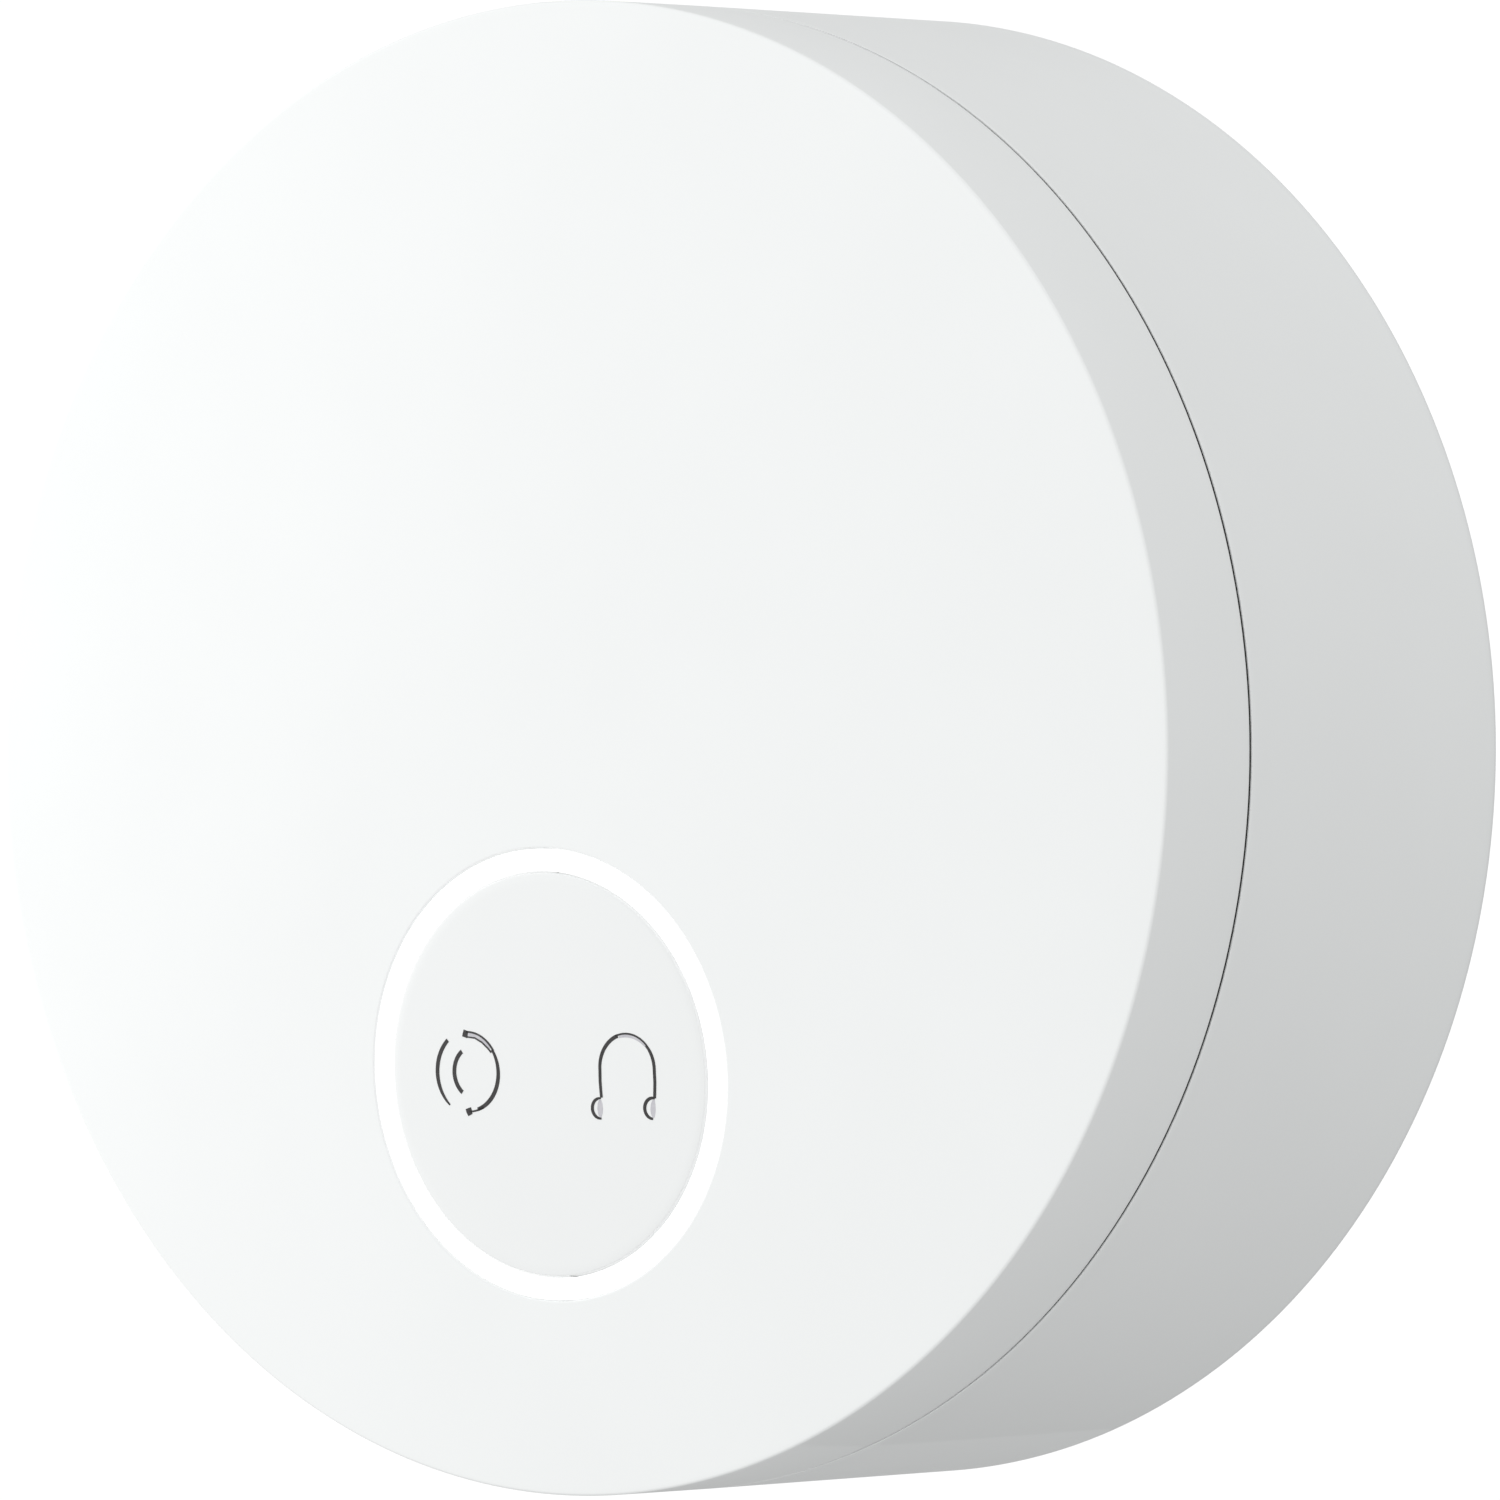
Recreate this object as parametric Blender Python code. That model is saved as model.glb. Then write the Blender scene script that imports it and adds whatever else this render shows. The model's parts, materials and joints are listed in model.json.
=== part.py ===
"""Round smoke alarm for a wall: a two-part puck on a bayonet plate, with a lit ring around a two-way key.

The wall plane is y = 0. The alarm stands out from it towards -Y, and Z is up. A "reach" below is a
distance out from the wall, so a point at reach a lies at y = -a.
"""
import math

import bmesh
import bpy
from mathutils import Matrix, Vector

MM = 0.001
GAP = 0.3 * MM                    # air left between two pieces that touch
WELD = 1e-7                       # points closer than this are one point
FINE = 72                         # sides of the large round shells
ROUND = 48                        # sides of the ring, the key and their neighbours
MEDIUM = 32                       # sides of hidden parts about 30 mm across
COARSE = 16                       # sides of bosses and small round parts
SCREW_SIDES = 10

# Case
BODY_R = 50 * MM
REAR_R = 49.9 * MM                # the body tapers slightly towards the wall
BODY_REAR = 8.0 * MM              # reach of the body's rear face
SEAM = 36.2 * MM                  # reach of the body's open edge
COVER_RIM = 45.5 * MM             # reach of the cover's rim, where the dome starts
DOME_RISE = 2.8 * MM
RIM_FILLET = 0.35 * MM
REAR_FILLET = 1.0 * MM
WALL = 2.0 * MM
SPIGOT_DEPTH = 2.6 * MM           # the cover's inner lip, which slides into the body
SPIGOT_T = 1.4 * MM
GASKET_IN_R = 48.2 * MM
GASKET_OUT_R = 49.9 * MM          # set back by a hair from the outer walls, so it shows as a dark line
GASKET_PLAY = 0.03 * MM
DOME_R = (BODY_R ** 2 + DOME_RISE ** 2) / (2 * DOME_RISE)
DOME_RINGS = 6                    # bands in the outer face of the dome
DOME_RINGS_INSIDE = 3

# Key and light ring, centred below the middle of the face
KEY_Z = -21.8 * MM
RING_OUT_R = 15.1 * MM
RING_IN_R = 13.6 * MM
RING_HOLE_R = 15.2 * MM
RING_BACK = 44.2 * MM
RING_FLANGE_R = 17.2 * MM
RING_FLANGE_T = 0.6 * MM
KEY_R = 13.4 * MM
KEY_BACK = 45.2 * MM
KEY_SKIRT = 44.0 * MM
KEY_SKIRT_T = 1.0 * MM
PIVOT_REACH = 43.0 * MM
PIVOT_R = 0.6 * MM
SWITCH_X = 7.0 * MM
POST_R = 1.6 * MM
POST_TIP = 40.7 * MM

# Boards
MAIN_BOARD_R = 45.5 * MM
MAIN_BOARD = 28.5 * MM            # reach of the board's rear face
BOARD_T = 1.6 * MM
KEY_BOARD = 34.6 * MM
KEY_BOARD_HALF_X = 24.0 * MM
KEY_BOARD_HALF_Z = 17.0 * MM
KEY_BOARD_CORNER = 6.0 * MM
KEY_BOSS_X = 20.5 * MM

# Fastening circles
CASE_SCREW_PCD_R = 43.2 * MM
CASE_SCREW_ANGLES = (90, 210, 330)
BOARD_SCREW_PCD_R = 43.0 * MM
BOARD_SCREW_ANGLES = (30, 150, 270)
BASE_SCREW_PCD_R = 40.2 * MM
BASE_SCREW_ANGLES = (0, 120, 240)
CASE_TOWER_R = 4.2 * MM
CASE_TOWER_TOP = 21.7 * MM
BOARD_BOSS_R = 2.6 * MM

# Bayonet and smoke inlet
PLATE_R = 41.0 * MM
PLATE_T = 3.0 * MM
PLATE_CHAMFER = 0.6 * MM
STUD_PCD_R = 30.0 * MM
STUD_R = 1.8 * MM
STUD_HEAD_R = 3.1 * MM
STUD_HEAD = 5.8 * MM
STUD_TOP = 7.3 * MM
TWIST = 18                        # degrees from locked to free
NECK_R = 38.0 * MM
NECK_T = 2.0 * MM
NECK_FLOOR_T = 2.2 * MM
NECK_FLANGE_R = 42.0 * MM
NECK_FLANGE_T = 1.5 * MM
INLET_WINDOWS = 18
INLET_WINDOW_WIDTH = 9.6 * MM
INLET_LOW = 5.9 * MM
INLET_HIGH = 7.7 * MM
WALL_SLOT_X = 22.0 * MM
WALL_SLOT_HALF_LENGTH = 3.4 * MM
WALL_SLOT_R = 2.7 * MM

# Smoke chamber, sounder and cell, on the rear side of the main board
CHAMBER_X = -15.0 * MM
CHAMBER_Z = 12.0 * MM
CHAMBER_R = 18.1 * MM
CHAMBER_LID = 13.0 * MM
CHAMBER_FLOOR = 26.6 * MM
VANES = 14
VANE_R = 14.6 * MM
SOUNDER_X = 20.0 * MM
SOUNDER_Z = 14.0 * MM
SOUNDER_R = 14.0 * MM
SOUNDER_FRONT = 17.8 * MM
CELL_R = 8.5 * MM
CELL_HALF = 16.4 * MM
CELL_NUB = 0.8 * MM
CELL_Z = -24.0 * MM
CELL_REACH = 18.3 * MM


def paint(name, colour, roughness, metallic=0.0):
    material = bpy.data.materials.new(name)
    material.use_nodes = True
    shader = material.node_tree.nodes["Principled BSDF"]
    shader.inputs["Base Color"].default_value = (*colour, 1.0)
    shader.inputs["Roughness"].default_value = roughness
    shader.inputs["Metallic"].default_value = metallic
    return material


def turn(outline, steps, x=0.0, z=0.0):
    """Turns an outline of (radius, reach) points about the line through (x, z) parallel to Y."""
    bm = bmesh.new()
    points = [bm.verts.new((radius, -reach, 0.0)) for radius, reach in outline]
    pairs = list(zip(points, points[1:]))
    if outline[0][0] > 0 or outline[-1][0] > 0:
        pairs.append((points[-1], points[0]))
    edges = [bm.edges.new(pair) for pair in pairs]
    bmesh.ops.spin(bm, geom=points + edges, cent=(0, 0, 0), axis=(0, 1, 0), angle=math.tau,
                   steps=steps, use_merge=True)
    bmesh.ops.remove_doubles(bm, verts=bm.verts, dist=WELD)
    flat_ends = {-reach for radius, reach in outline if radius == 0}
    flat_ends &= {-reach for radius, reach in outline if radius > 0}
    middles = [v for v in bm.verts if v.co.xz.length < WELD
               and min((abs(v.co.y - y) for y in flat_ends), default=1.0) < WELD]
    bmesh.ops.dissolve_verts(bm, verts=middles)
    bmesh.ops.recalc_face_normals(bm, faces=bm.faces)
    bmesh.ops.translate(bm, verts=bm.verts, vec=(x, 0, z))
    return bm


def rod(radius, low, high, x=0.0, z=0.0, steps=COARSE):
    return turn([(0, low), (radius, low), (radius, high), (0, high)], steps, x, z)


def block(x_span, z_span, reach_span):
    """A box given by its spans across, up and out from the wall."""
    size = (x_span[1] - x_span[0], reach_span[1] - reach_span[0], z_span[1] - z_span[0])
    middle = (sum(x_span) / 2, -sum(reach_span) / 2, sum(z_span) / 2)
    bm = bmesh.new()
    bmesh.ops.create_cube(bm, size=1.0, matrix=Matrix.Translation(middle) @ Matrix.Diagonal((*size, 1.0)))
    return bm


def plate(outline, low, high):
    """A flat outline of (x, z) points, given thickness from one reach to another."""
    bm = bmesh.new()
    face = bm.faces.new([bm.verts.new((x, -low, z)) for x, z in outline])
    raised = bmesh.ops.extrude_face_region(bm, geom=[face])["geom"]
    moved = [item for item in raised if isinstance(item, bmesh.types.BMVert)]
    bmesh.ops.translate(bm, verts=moved, vec=(0, low - high, 0))
    bmesh.ops.recalc_face_normals(bm, faces=bm.faces)
    return bm


def aim(bm, centre, direction):
    """Swings a solid that was made along -Y at the origin to another direction and place."""
    swing = Vector((0, -1, 0)).rotation_difference(Vector(direction)).to_matrix().to_4x4()
    bm.transform(Matrix.Translation(centre) @ swing)
    return bm


def arc(radius, start, end, count, x=0.0, z=0.0):
    """Points along an arc from one angle to another, in degrees."""
    angles = [math.radians(start + (end - start) * i / (count - 1)) for i in range(count)]
    return [(x + radius * math.cos(a), z + radius * math.sin(a)) for a in angles]


def on_circle(radius, degrees):
    angle = math.radians(degrees)
    return radius * math.cos(angle), radius * math.sin(angle)


def to_object(name, bm):
    mesh = bpy.data.meshes.new(name)
    bm.to_mesh(mesh)
    bm.free()
    thing = bpy.data.objects.new(name, mesh)
    bpy.context.collection.objects.link(thing)
    return thing


def gather(solids):
    """Several separate solids as one mesh, so that one Boolean takes them all."""
    whole = bmesh.new()
    for solid in solids:
        mesh = bpy.data.meshes.new("solid")
        solid.to_mesh(mesh)
        solid.free()
        whole.from_mesh(mesh)
        bpy.data.meshes.remove(mesh)
    return whole


def combine(base, tool, operation):
    """Joins, cuts or intersects two solids and returns the result."""
    body = to_object("body", base)
    other = to_object("tool", tool)
    change = body.modifiers.new("change", "BOOLEAN")
    change.operation = operation
    change.solver = "EXACT"
    change.object = other
    depsgraph = bpy.context.evaluated_depsgraph_get()
    mesh = bpy.data.meshes.new_from_object(body.evaluated_get(depsgraph))
    result = bmesh.new()
    result.from_mesh(mesh)
    for thing in (body, other):
        bpy.data.objects.remove(thing)
    bpy.data.meshes.remove(mesh)
    bmesh.ops.remove_doubles(result, verts=result.verts, dist=WELD)
    bmesh.ops.dissolve_degenerate(result, edges=result.edges, dist=WELD)
    return result


def join(base, *solids):
    return combine(base, gather(solids), "UNION")


def cut(base, *solids):
    return combine(base, gather(solids), "DIFFERENCE")


def within(base, limit):
    return combine(base, limit, "INTERSECT")


def keep(name, bm, material, pivot=(0.0, 0.0, 0.0)):
    """Turns a finished solid into the named part, with its origin at the pivot."""
    bmesh.ops.translate(bm, verts=bm.verts, vec=-Vector(pivot))
    part = to_object(name, bm)
    part.location = pivot
    part.data.materials.clear()
    part.data.materials.append(material)
    part.data.shade_smooth()
    part.data.set_sharp_from_angle(angle=math.radians(35))
    return part


def dome_height(radius, drop=0.0):
    """Reach of the domed face at a distance from its middle, or of a surface some way under it."""
    top = COVER_RIM + DOME_RISE
    return top - drop - DOME_R + math.sqrt(DOME_R ** 2 - radius ** 2)


def dome_line(start, end, drop=0.0, bands=DOME_RINGS):
    radii = [start + (end - start) * i / bands for i in range(bands + 1)]
    return [(radius, dome_height(radius, drop)) for radius in radii]


def dome_solid():
    """Everything under the domed face, used to trim the ring and the key flush with it."""
    edge = BODY_R - RIM_FILLET
    return turn([*dome_line(0, edge), (edge, SEAM), (0, SEAM)], FINE)


def front_cover(material):
    edge = BODY_R - RIM_FILLET
    lip = BODY_R - WALL - GAP
    lip_in = lip - SPIGOT_T
    bottom = SEAM + GAP
    inner_edge = BODY_R - WALL
    outline = [*dome_line(0, edge),
               (BODY_R - 0.1 * MM, dome_height(edge) - 0.12 * MM),
               (BODY_R, dome_height(edge) - RIM_FILLET),
               (BODY_R, bottom), (lip, bottom), (lip, bottom - SPIGOT_DEPTH),
               (lip_in, bottom - SPIGOT_DEPTH), (lip_in, bottom + WALL),
               (inner_edge, bottom + 2 * WALL),
               *dome_line(inner_edge, 0, WALL, DOME_RINGS_INSIDE)]
    cover = turn(outline, FINE)
    case_spots = [on_circle(CASE_SCREW_PCD_R, angle) for angle in CASE_SCREW_ANGLES]
    key_spots = [(side * KEY_BOSS_X, KEY_Z) for side in (-1, 1)]
    case_low = CASE_TOWER_TOP + GAP
    key_low = KEY_BOARD + BOARD_T + GAP
    bosses = [rod(3.0 * MM, case_low, 45.2 * MM, *spot) for spot in case_spots]
    bosses += [rod(2.4 * MM, key_low, 46.3 * MM, *spot) for spot in key_spots]
    cover = join(cover, *bosses)
    bores = [rod(1.5 * MM, case_low - MM, case_low + 12 * MM, *spot, steps=12) for spot in case_spots]
    bores += [rod(1.1 * MM, key_low - MM, key_low + 5 * MM, *spot, steps=12) for spot in key_spots]
    opening = rod(RING_HOLE_R, 40 * MM, 52 * MM, 0, KEY_Z, steps=ROUND)
    keep("front_cover", cut(cover, *bores, opening), material)


def seam_gasket(material):
    """A thin black washer that closes the gap between the two housing halves."""
    low = SEAM + GASKET_PLAY
    high = SEAM + GAP - GASKET_PLAY
    outline = [(GASKET_IN_R, low), (GASKET_OUT_R, low), (GASKET_OUT_R, high), (GASKET_IN_R, high)]
    return keep("seam_gasket", turn(outline, FINE), material)


def body_shell(material):
    inner = BODY_R - WALL
    opening = NECK_R + 0.4 * MM
    rear_edge = REAR_R - REAR_FILLET
    corner = arc(REAR_FILLET, 0, -90, 4, rear_edge, BODY_REAR + REAR_FILLET)
    outline = [(BODY_R, SEAM), *corner, (opening, BODY_REAR), (opening, BODY_REAR + WALL),
               (inner, BODY_REAR + WALL), (inner, SEAM)]
    shell = turn(outline, FINE)
    case_spots = [on_circle(CASE_SCREW_PCD_R, angle) for angle in CASE_SCREW_ANGLES]
    board_spots = [on_circle(BOARD_SCREW_PCD_R, angle) for angle in BOARD_SCREW_ANGLES]
    base_spots = [on_circle(BASE_SCREW_PCD_R, angle) for angle in BASE_SCREW_ANGLES]
    low = BODY_REAR + WALL / 2
    board_top = MAIN_BOARD - GAP
    towers = [rod(CASE_TOWER_R, low, CASE_TOWER_TOP, *spot, steps=20) for spot in case_spots]
    towers += [rod(BOARD_BOSS_R, low, board_top, *spot) for spot in board_spots]
    shell = join(shell, *towers)
    pockets = [rod(3.0 * MM, BODY_REAR - MM, CASE_TOWER_TOP - 2.2 * MM, *spot) for spot in case_spots]
    bores = [rod(1.8 * MM, BODY_REAR, CASE_TOWER_TOP + MM, *spot, steps=12) for spot in case_spots]
    bores += [rod(1.1 * MM, board_top - 8 * MM, board_top + MM, *spot, steps=12) for spot in board_spots]
    pilot = (BODY_REAR + 0.5 * MM, BODY_REAR + 3 * MM)
    bores += [rod(1.1 * MM, *pilot, *spot, steps=12) for spot in base_spots]
    shell = cut(shell, *pockets)
    keep("body_shell", cut(shell, *bores), material)


def stud_slots():
    """The three curved tracks that the plate's studs run in, and the wide entry of each."""
    low = PLATE_T
    high = PLATE_T + GAP + NECK_FLOOR_T + MM
    half = STUD_R + GAP
    tracks = []
    entries = []
    for angle in CASE_SCREW_ANGLES:
        outer = arc(STUD_PCD_R + half, angle, angle - TWIST, 7)
        inner = arc(STUD_PCD_R - half, angle - TWIST, angle, 7)
        closed_end = arc(half, angle + 180, angle, 9, *on_circle(STUD_PCD_R, angle))[1:-1]
        tracks.append(plate(outer + inner + closed_end, low, high))
        entries.append(rod(STUD_HEAD_R + 0.4 * MM, low, high, *on_circle(STUD_PCD_R, angle - TWIST)))
    return tracks, entries


def inlet_windows():
    """Boxes around the neck, one for each window that smoke passes through."""
    boxes = []
    for number in range(INLET_WINDOWS):
        window = block((NECK_R - NECK_T - MM, NECK_R + MM),
                       (-INLET_WINDOW_WIDTH / 2, INLET_WINDOW_WIDTH / 2), (INLET_LOW, INLET_HIGH))
        angle = math.tau * (number + 0.5) / INLET_WINDOWS
        window.transform(Matrix.Rotation(-angle, 4, "Y"))
        boxes.append(window)
    return boxes


def bayonet_base(material):
    floor = PLATE_T + GAP
    flange = BODY_REAR + WALL + GAP
    inner = NECK_R - NECK_T
    outline = [(0, floor), (NECK_R, floor), (NECK_R, flange), (NECK_FLANGE_R, flange),
               (NECK_FLANGE_R, flange + NECK_FLANGE_T), (inner, flange + NECK_FLANGE_T),
               (inner, floor + NECK_FLOOR_T), (0, floor + NECK_FLOOR_T)]
    base = turn(outline, FINE)
    for group in stud_slots():
        base = cut(base, *group)
    base = cut(base, *inlet_windows())
    notches = []
    for angle in CASE_SCREW_ANGLES:
        spot = on_circle(CASE_SCREW_PCD_R, angle)
        notches.append(rod(CASE_TOWER_R + GAP, flange - MM / 2, flange + 3 * MM, *spot, steps=20))
    for angle in BOARD_SCREW_ANGLES:
        spot = on_circle(BOARD_SCREW_PCD_R, angle)
        notches.append(rod(BOARD_BOSS_R + GAP, flange - MM / 2, flange + 3 * MM, *spot))
    for angle in BASE_SCREW_ANGLES:
        spot = on_circle(BASE_SCREW_PCD_R, angle)
        notches.append(rod(1.2 * MM, flange - MM / 2, flange + 3 * MM, *spot, steps=12))
    keep("bayonet_base", cut(base, *notches), material)


def mounting_plate(material):
    edge = PLATE_R - PLATE_CHAMFER
    outline = [(0, 0), (PLATE_R, 0), (PLATE_R, PLATE_T - PLATE_CHAMFER), (edge, PLATE_T), (0, PLATE_T)]
    base = turn(outline, FINE)
    studs = []
    for angle in CASE_SCREW_ANGLES:
        stud = [(0, PLATE_T / 2), (STUD_R, PLATE_T / 2), (STUD_R, STUD_HEAD), (STUD_HEAD_R, STUD_HEAD),
                (STUD_HEAD_R, STUD_TOP - 0.4 * MM), (STUD_HEAD_R - 0.4 * MM, STUD_TOP), (0, STUD_TOP)]
        studs.append(turn(stud, COARSE, *on_circle(STUD_PCD_R, angle)))
    base = join(base, *studs)
    slots = []
    for side in (-1, 1):
        right = arc(WALL_SLOT_R, -90, 90, 9, side * WALL_SLOT_X + WALL_SLOT_HALF_LENGTH)
        left = arc(WALL_SLOT_R, 90, 270, 9, side * WALL_SLOT_X - WALL_SLOT_HALF_LENGTH)
        slots.append(plate(right + left, -MM, PLATE_T + MM))
    keep("mounting_plate", cut(base, *slots), material)


def light_ring(material):
    flange_low = RING_BACK - RING_FLANGE_T
    outline = [(RING_IN_R, RING_BACK), (RING_OUT_R - 0.4 * MM, RING_BACK),
               (RING_OUT_R - 0.4 * MM, flange_low), (RING_FLANGE_R, flange_low),
               (RING_FLANGE_R, RING_BACK), (RING_OUT_R, RING_BACK),
               (RING_OUT_R, 50 * MM), (RING_IN_R, 50 * MM)]
    ring = turn(outline, ROUND, 0, KEY_Z)
    keep("light_ring", within(ring, dome_solid()), material)


def light_guide(material):
    low = KEY_BOARD + BOARD_T + 1.8 * MM
    step = RING_BACK - RING_FLANGE_T - GAP
    top = RING_BACK - GAP
    outline = [(RING_IN_R, low), (16.8 * MM, low), (16.8 * MM, step), (14.4 * MM, step),
               (14.4 * MM, top), (RING_IN_R, top)]
    guide = turn(outline, ROUND, 0, KEY_Z)
    seats = []
    for side in (-1, 1):
        ends = sorted((KEY_Z + side * 13.0 * MM, KEY_Z + side * 15.1 * MM))
        seats.append(block((-PIVOT_R - 0.15 * MM, PIVOT_R + 0.15 * MM), ends,
                           (PIVOT_REACH - PIVOT_R - 0.1 * MM, top + MM)))
    keep("light_guide", cut(guide, *seats), material)


def two_way_key(material):
    """A rocking disc: pressing its left or right half tips it on two pins, top and bottom."""
    outline = [(0, 50 * MM), (KEY_R, 50 * MM), (KEY_R, KEY_SKIRT), (KEY_R - KEY_SKIRT_T, KEY_SKIRT),
               (KEY_R - KEY_SKIRT_T, KEY_BACK), (0, KEY_BACK)]
    key = within(turn(outline, ROUND, 0, KEY_Z), dome_solid())
    posts = [rod(POST_R, POST_TIP, KEY_BACK + MM, side * SWITCH_X, KEY_Z) for side in (-1, 1)]
    ears = []
    pins = []
    for side in (-1, 1):
        ends = sorted((KEY_Z + side * 11.9 * MM, KEY_Z + side * 13.1 * MM))
        ears.append(block((-1.2 * MM, 1.2 * MM), ends, (PIVOT_REACH - 0.9 * MM, KEY_SKIRT + 0.6 * MM)))
        pin = rod(PIVOT_R, 0, 2.2 * MM, steps=12)
        pins.append(aim(pin, (0, -PIVOT_REACH, KEY_Z + side * 12.5 * MM), (0, 0, side)))
    key = join(join(key, *posts, *ears), *pins)
    keep("two_way_key", key, material, pivot=(0, -PIVOT_REACH, KEY_Z))


def rounded_board(half_x, half_z, corner, z):
    outline = []
    for index, (sx, sz) in enumerate(((1, 1), (-1, 1), (-1, -1), (1, -1))):
        start = 90 * index
        outline += arc(corner, start, start + 90, 5, sx * (half_x - corner), z + sz * (half_z - corner))
    return outline


def key_board(material):
    outline = rounded_board(KEY_BOARD_HALF_X, KEY_BOARD_HALF_Z, KEY_BOARD_CORNER, KEY_Z)
    board = plate(outline, KEY_BOARD, KEY_BOARD + BOARD_T)
    holes = [rod(1.3 * MM, KEY_BOARD - MM, KEY_BOARD + 3 * MM, side * KEY_BOSS_X, KEY_Z, steps=12)
             for side in (-1, 1)]
    keep("key_board", cut(board, *holes), material)


def tact_switches(case_material, plunger_material):
    low = KEY_BOARD + BOARD_T + GAP
    top = low + 2.8 * MM
    for side, name in ((-1, "left"), (1, "right")):
        x = side * SWITCH_X
        body = block((x - 3 * MM, x + 3 * MM), (KEY_Z - 3 * MM, KEY_Z + 3 * MM), (low, top))
        well = rod(POST_R + 0.2 * MM, low + 0.7 * MM, top + MM, x, KEY_Z)
        keep(f"switch_body_{name}", cut(body, well), case_material)
        plunger = rod(POST_R, low + 1.1 * MM, POST_TIP - 0.1 * MM, x, KEY_Z)
        keep(f"switch_plunger_{name}", plunger, plunger_material, pivot=(x, -low, KEY_Z))


def ring_leds(material):
    low = KEY_BOARD + BOARD_T + 0.1 * MM
    for number in range(4):
        x, z = on_circle(15.1 * MM, 45 + 90 * number)
        z += KEY_Z
        package = block((x - 1.4 * MM, x + 1.4 * MM), (z - 1.4 * MM, z + 1.4 * MM), (low, low + MM))
        bmesh.ops.bevel(package, geom=package.edges[:], offset=0.2 * MM, segments=1, affect="EDGES")
        keep(f"ring_led_{number + 1}", package, material)


def screw(name, spot, seat, length, head_r, shank_r, outward, material):
    """A pan-head screw with a cross recess; its head lies outward (+1) or wall-side (-1) of its seat."""
    head = 1.7 * MM
    outline = [(0, head), (head_r * 0.7, head), (head_r, head * 0.6), (head_r, 0), (shank_r, 0),
               (shank_r, 1.2 * shank_r - length), (0, -length)]
    body = turn(outline, SCREW_SIDES)
    arm = (-head_r * 0.6, head_r * 0.6)
    width = (-0.3 * MM, 0.3 * MM)
    depth = (head - 0.9 * MM, head + MM)
    body = cut(body, block(arm, width, depth))
    body = cut(body, block(width, arm, depth))
    keep(name, aim(body, (spot[0], -seat, spot[1]), (0, -outward, 0)), material)


def fasteners(material):
    for number, angle in enumerate(CASE_SCREW_ANGLES, 1):
        screw(f"case_screw_{number}", on_circle(CASE_SCREW_PCD_R, angle), CASE_TOWER_TOP - 2.5 * MM,
              12 * MM, 2.6 * MM, 1.3 * MM, -1, material)
    for number, angle in enumerate(BOARD_SCREW_ANGLES, 1):
        screw(f"board_screw_{number}", on_circle(BOARD_SCREW_PCD_R, angle), MAIN_BOARD + BOARD_T + GAP,
              7 * MM, 2.2 * MM, 0.9 * MM, 1, material)
    for number, angle in enumerate(BASE_SCREW_ANGLES, 1):
        seat = BODY_REAR + WALL + GAP + NECK_FLANGE_T + GAP
        screw(f"base_screw_{number}", on_circle(BASE_SCREW_PCD_R, angle), seat, 3.5 * MM,
              1.7 * MM, 0.8 * MM, 1, material)
    for side, name in ((-1, "left"), (1, "right")):
        screw(f"key_board_screw_{name}", (side * KEY_BOSS_X, KEY_Z), KEY_BOARD - GAP, 5.5 * MM,
              2.0 * MM, 0.9 * MM, -1, material)


def main_board(material):
    board = rod(MAIN_BOARD_R, MAIN_BOARD, MAIN_BOARD + BOARD_T, steps=FINE)
    holes = []
    for angle in CASE_SCREW_ANGLES:
        spot = on_circle(CASE_SCREW_PCD_R, angle)
        holes.append(rod(3.5 * MM, MAIN_BOARD - MM, MAIN_BOARD + 3 * MM, *spot))
    for angle in BOARD_SCREW_ANGLES:
        spot = on_circle(BOARD_SCREW_PCD_R, angle)
        holes.append(rod(1.3 * MM, MAIN_BOARD - MM, MAIN_BOARD + 3 * MM, *spot, steps=12))
    keep("main_board", cut(board, *holes), material)


def vane(number):
    """One bent labyrinth vane: it lets smoke round the bend and keeps light out."""
    bend = [(VANE_R - 1.8 * MM, -0.4 * MM), (VANE_R, 1.3 * MM), (VANE_R + 1.9 * MM, -0.9 * MM),
            (VANE_R + 2.5 * MM, 0.0), (VANE_R, 2.7 * MM), (VANE_R - 2.4 * MM, 0.4 * MM)]
    solid = plate(bend, CHAMBER_LID + MM, CHAMBER_FLOOR - GAP)
    solid.transform(Matrix.Rotation(-math.tau * number / VANES, 4, "Y"))
    bmesh.ops.translate(solid, verts=solid.verts, vec=(CHAMBER_X, 0, CHAMBER_Z))
    return solid


def smoke_chamber(black, steel, clear, dark):
    floor = rod(CHAMBER_R, CHAMBER_FLOOR, MAIN_BOARD - GAP, CHAMBER_X, CHAMBER_Z, MEDIUM)
    saddles = []
    sensors = (("infrared_led", 200, clear), ("photodiode", 320, dark))
    for _, angle, _ in sensors:
        x, z = on_circle(8.0 * MM, angle)
        x += CHAMBER_X
        z += CHAMBER_Z
        saddles.append(block((x - 1.5 * MM, x + 1.5 * MM), (z - 1.5 * MM, z + 1.5 * MM),
                             (22.0 * MM, CHAMBER_FLOOR + 0.5 * MM)))
    keep("chamber_base", join(floor, *saddles), black)
    lid = rod(CHAMBER_R - 0.8 * MM, CHAMBER_LID, CHAMBER_LID + 1.4 * MM, CHAMBER_X, CHAMBER_Z, MEDIUM)
    keep("chamber_labyrinth", join(lid, *[vane(number) for number in range(VANES)]), black)
    for name, angle, material in sensors:
        x, z = on_circle(8.0 * MM, angle)
        lens = turn([(0, -2.2 * MM), (1.6 * MM, -2.2 * MM), (1.6 * MM, 0.8 * MM), (1.2 * MM, 1.8 * MM),
                     (0, 2.3 * MM)], 12)
        keep(name, aim(lens, (x + CHAMBER_X, -20.0 * MM, z + CHAMBER_Z), (-x, 0, -z)), material)
    insect_screen(steel)


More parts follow.
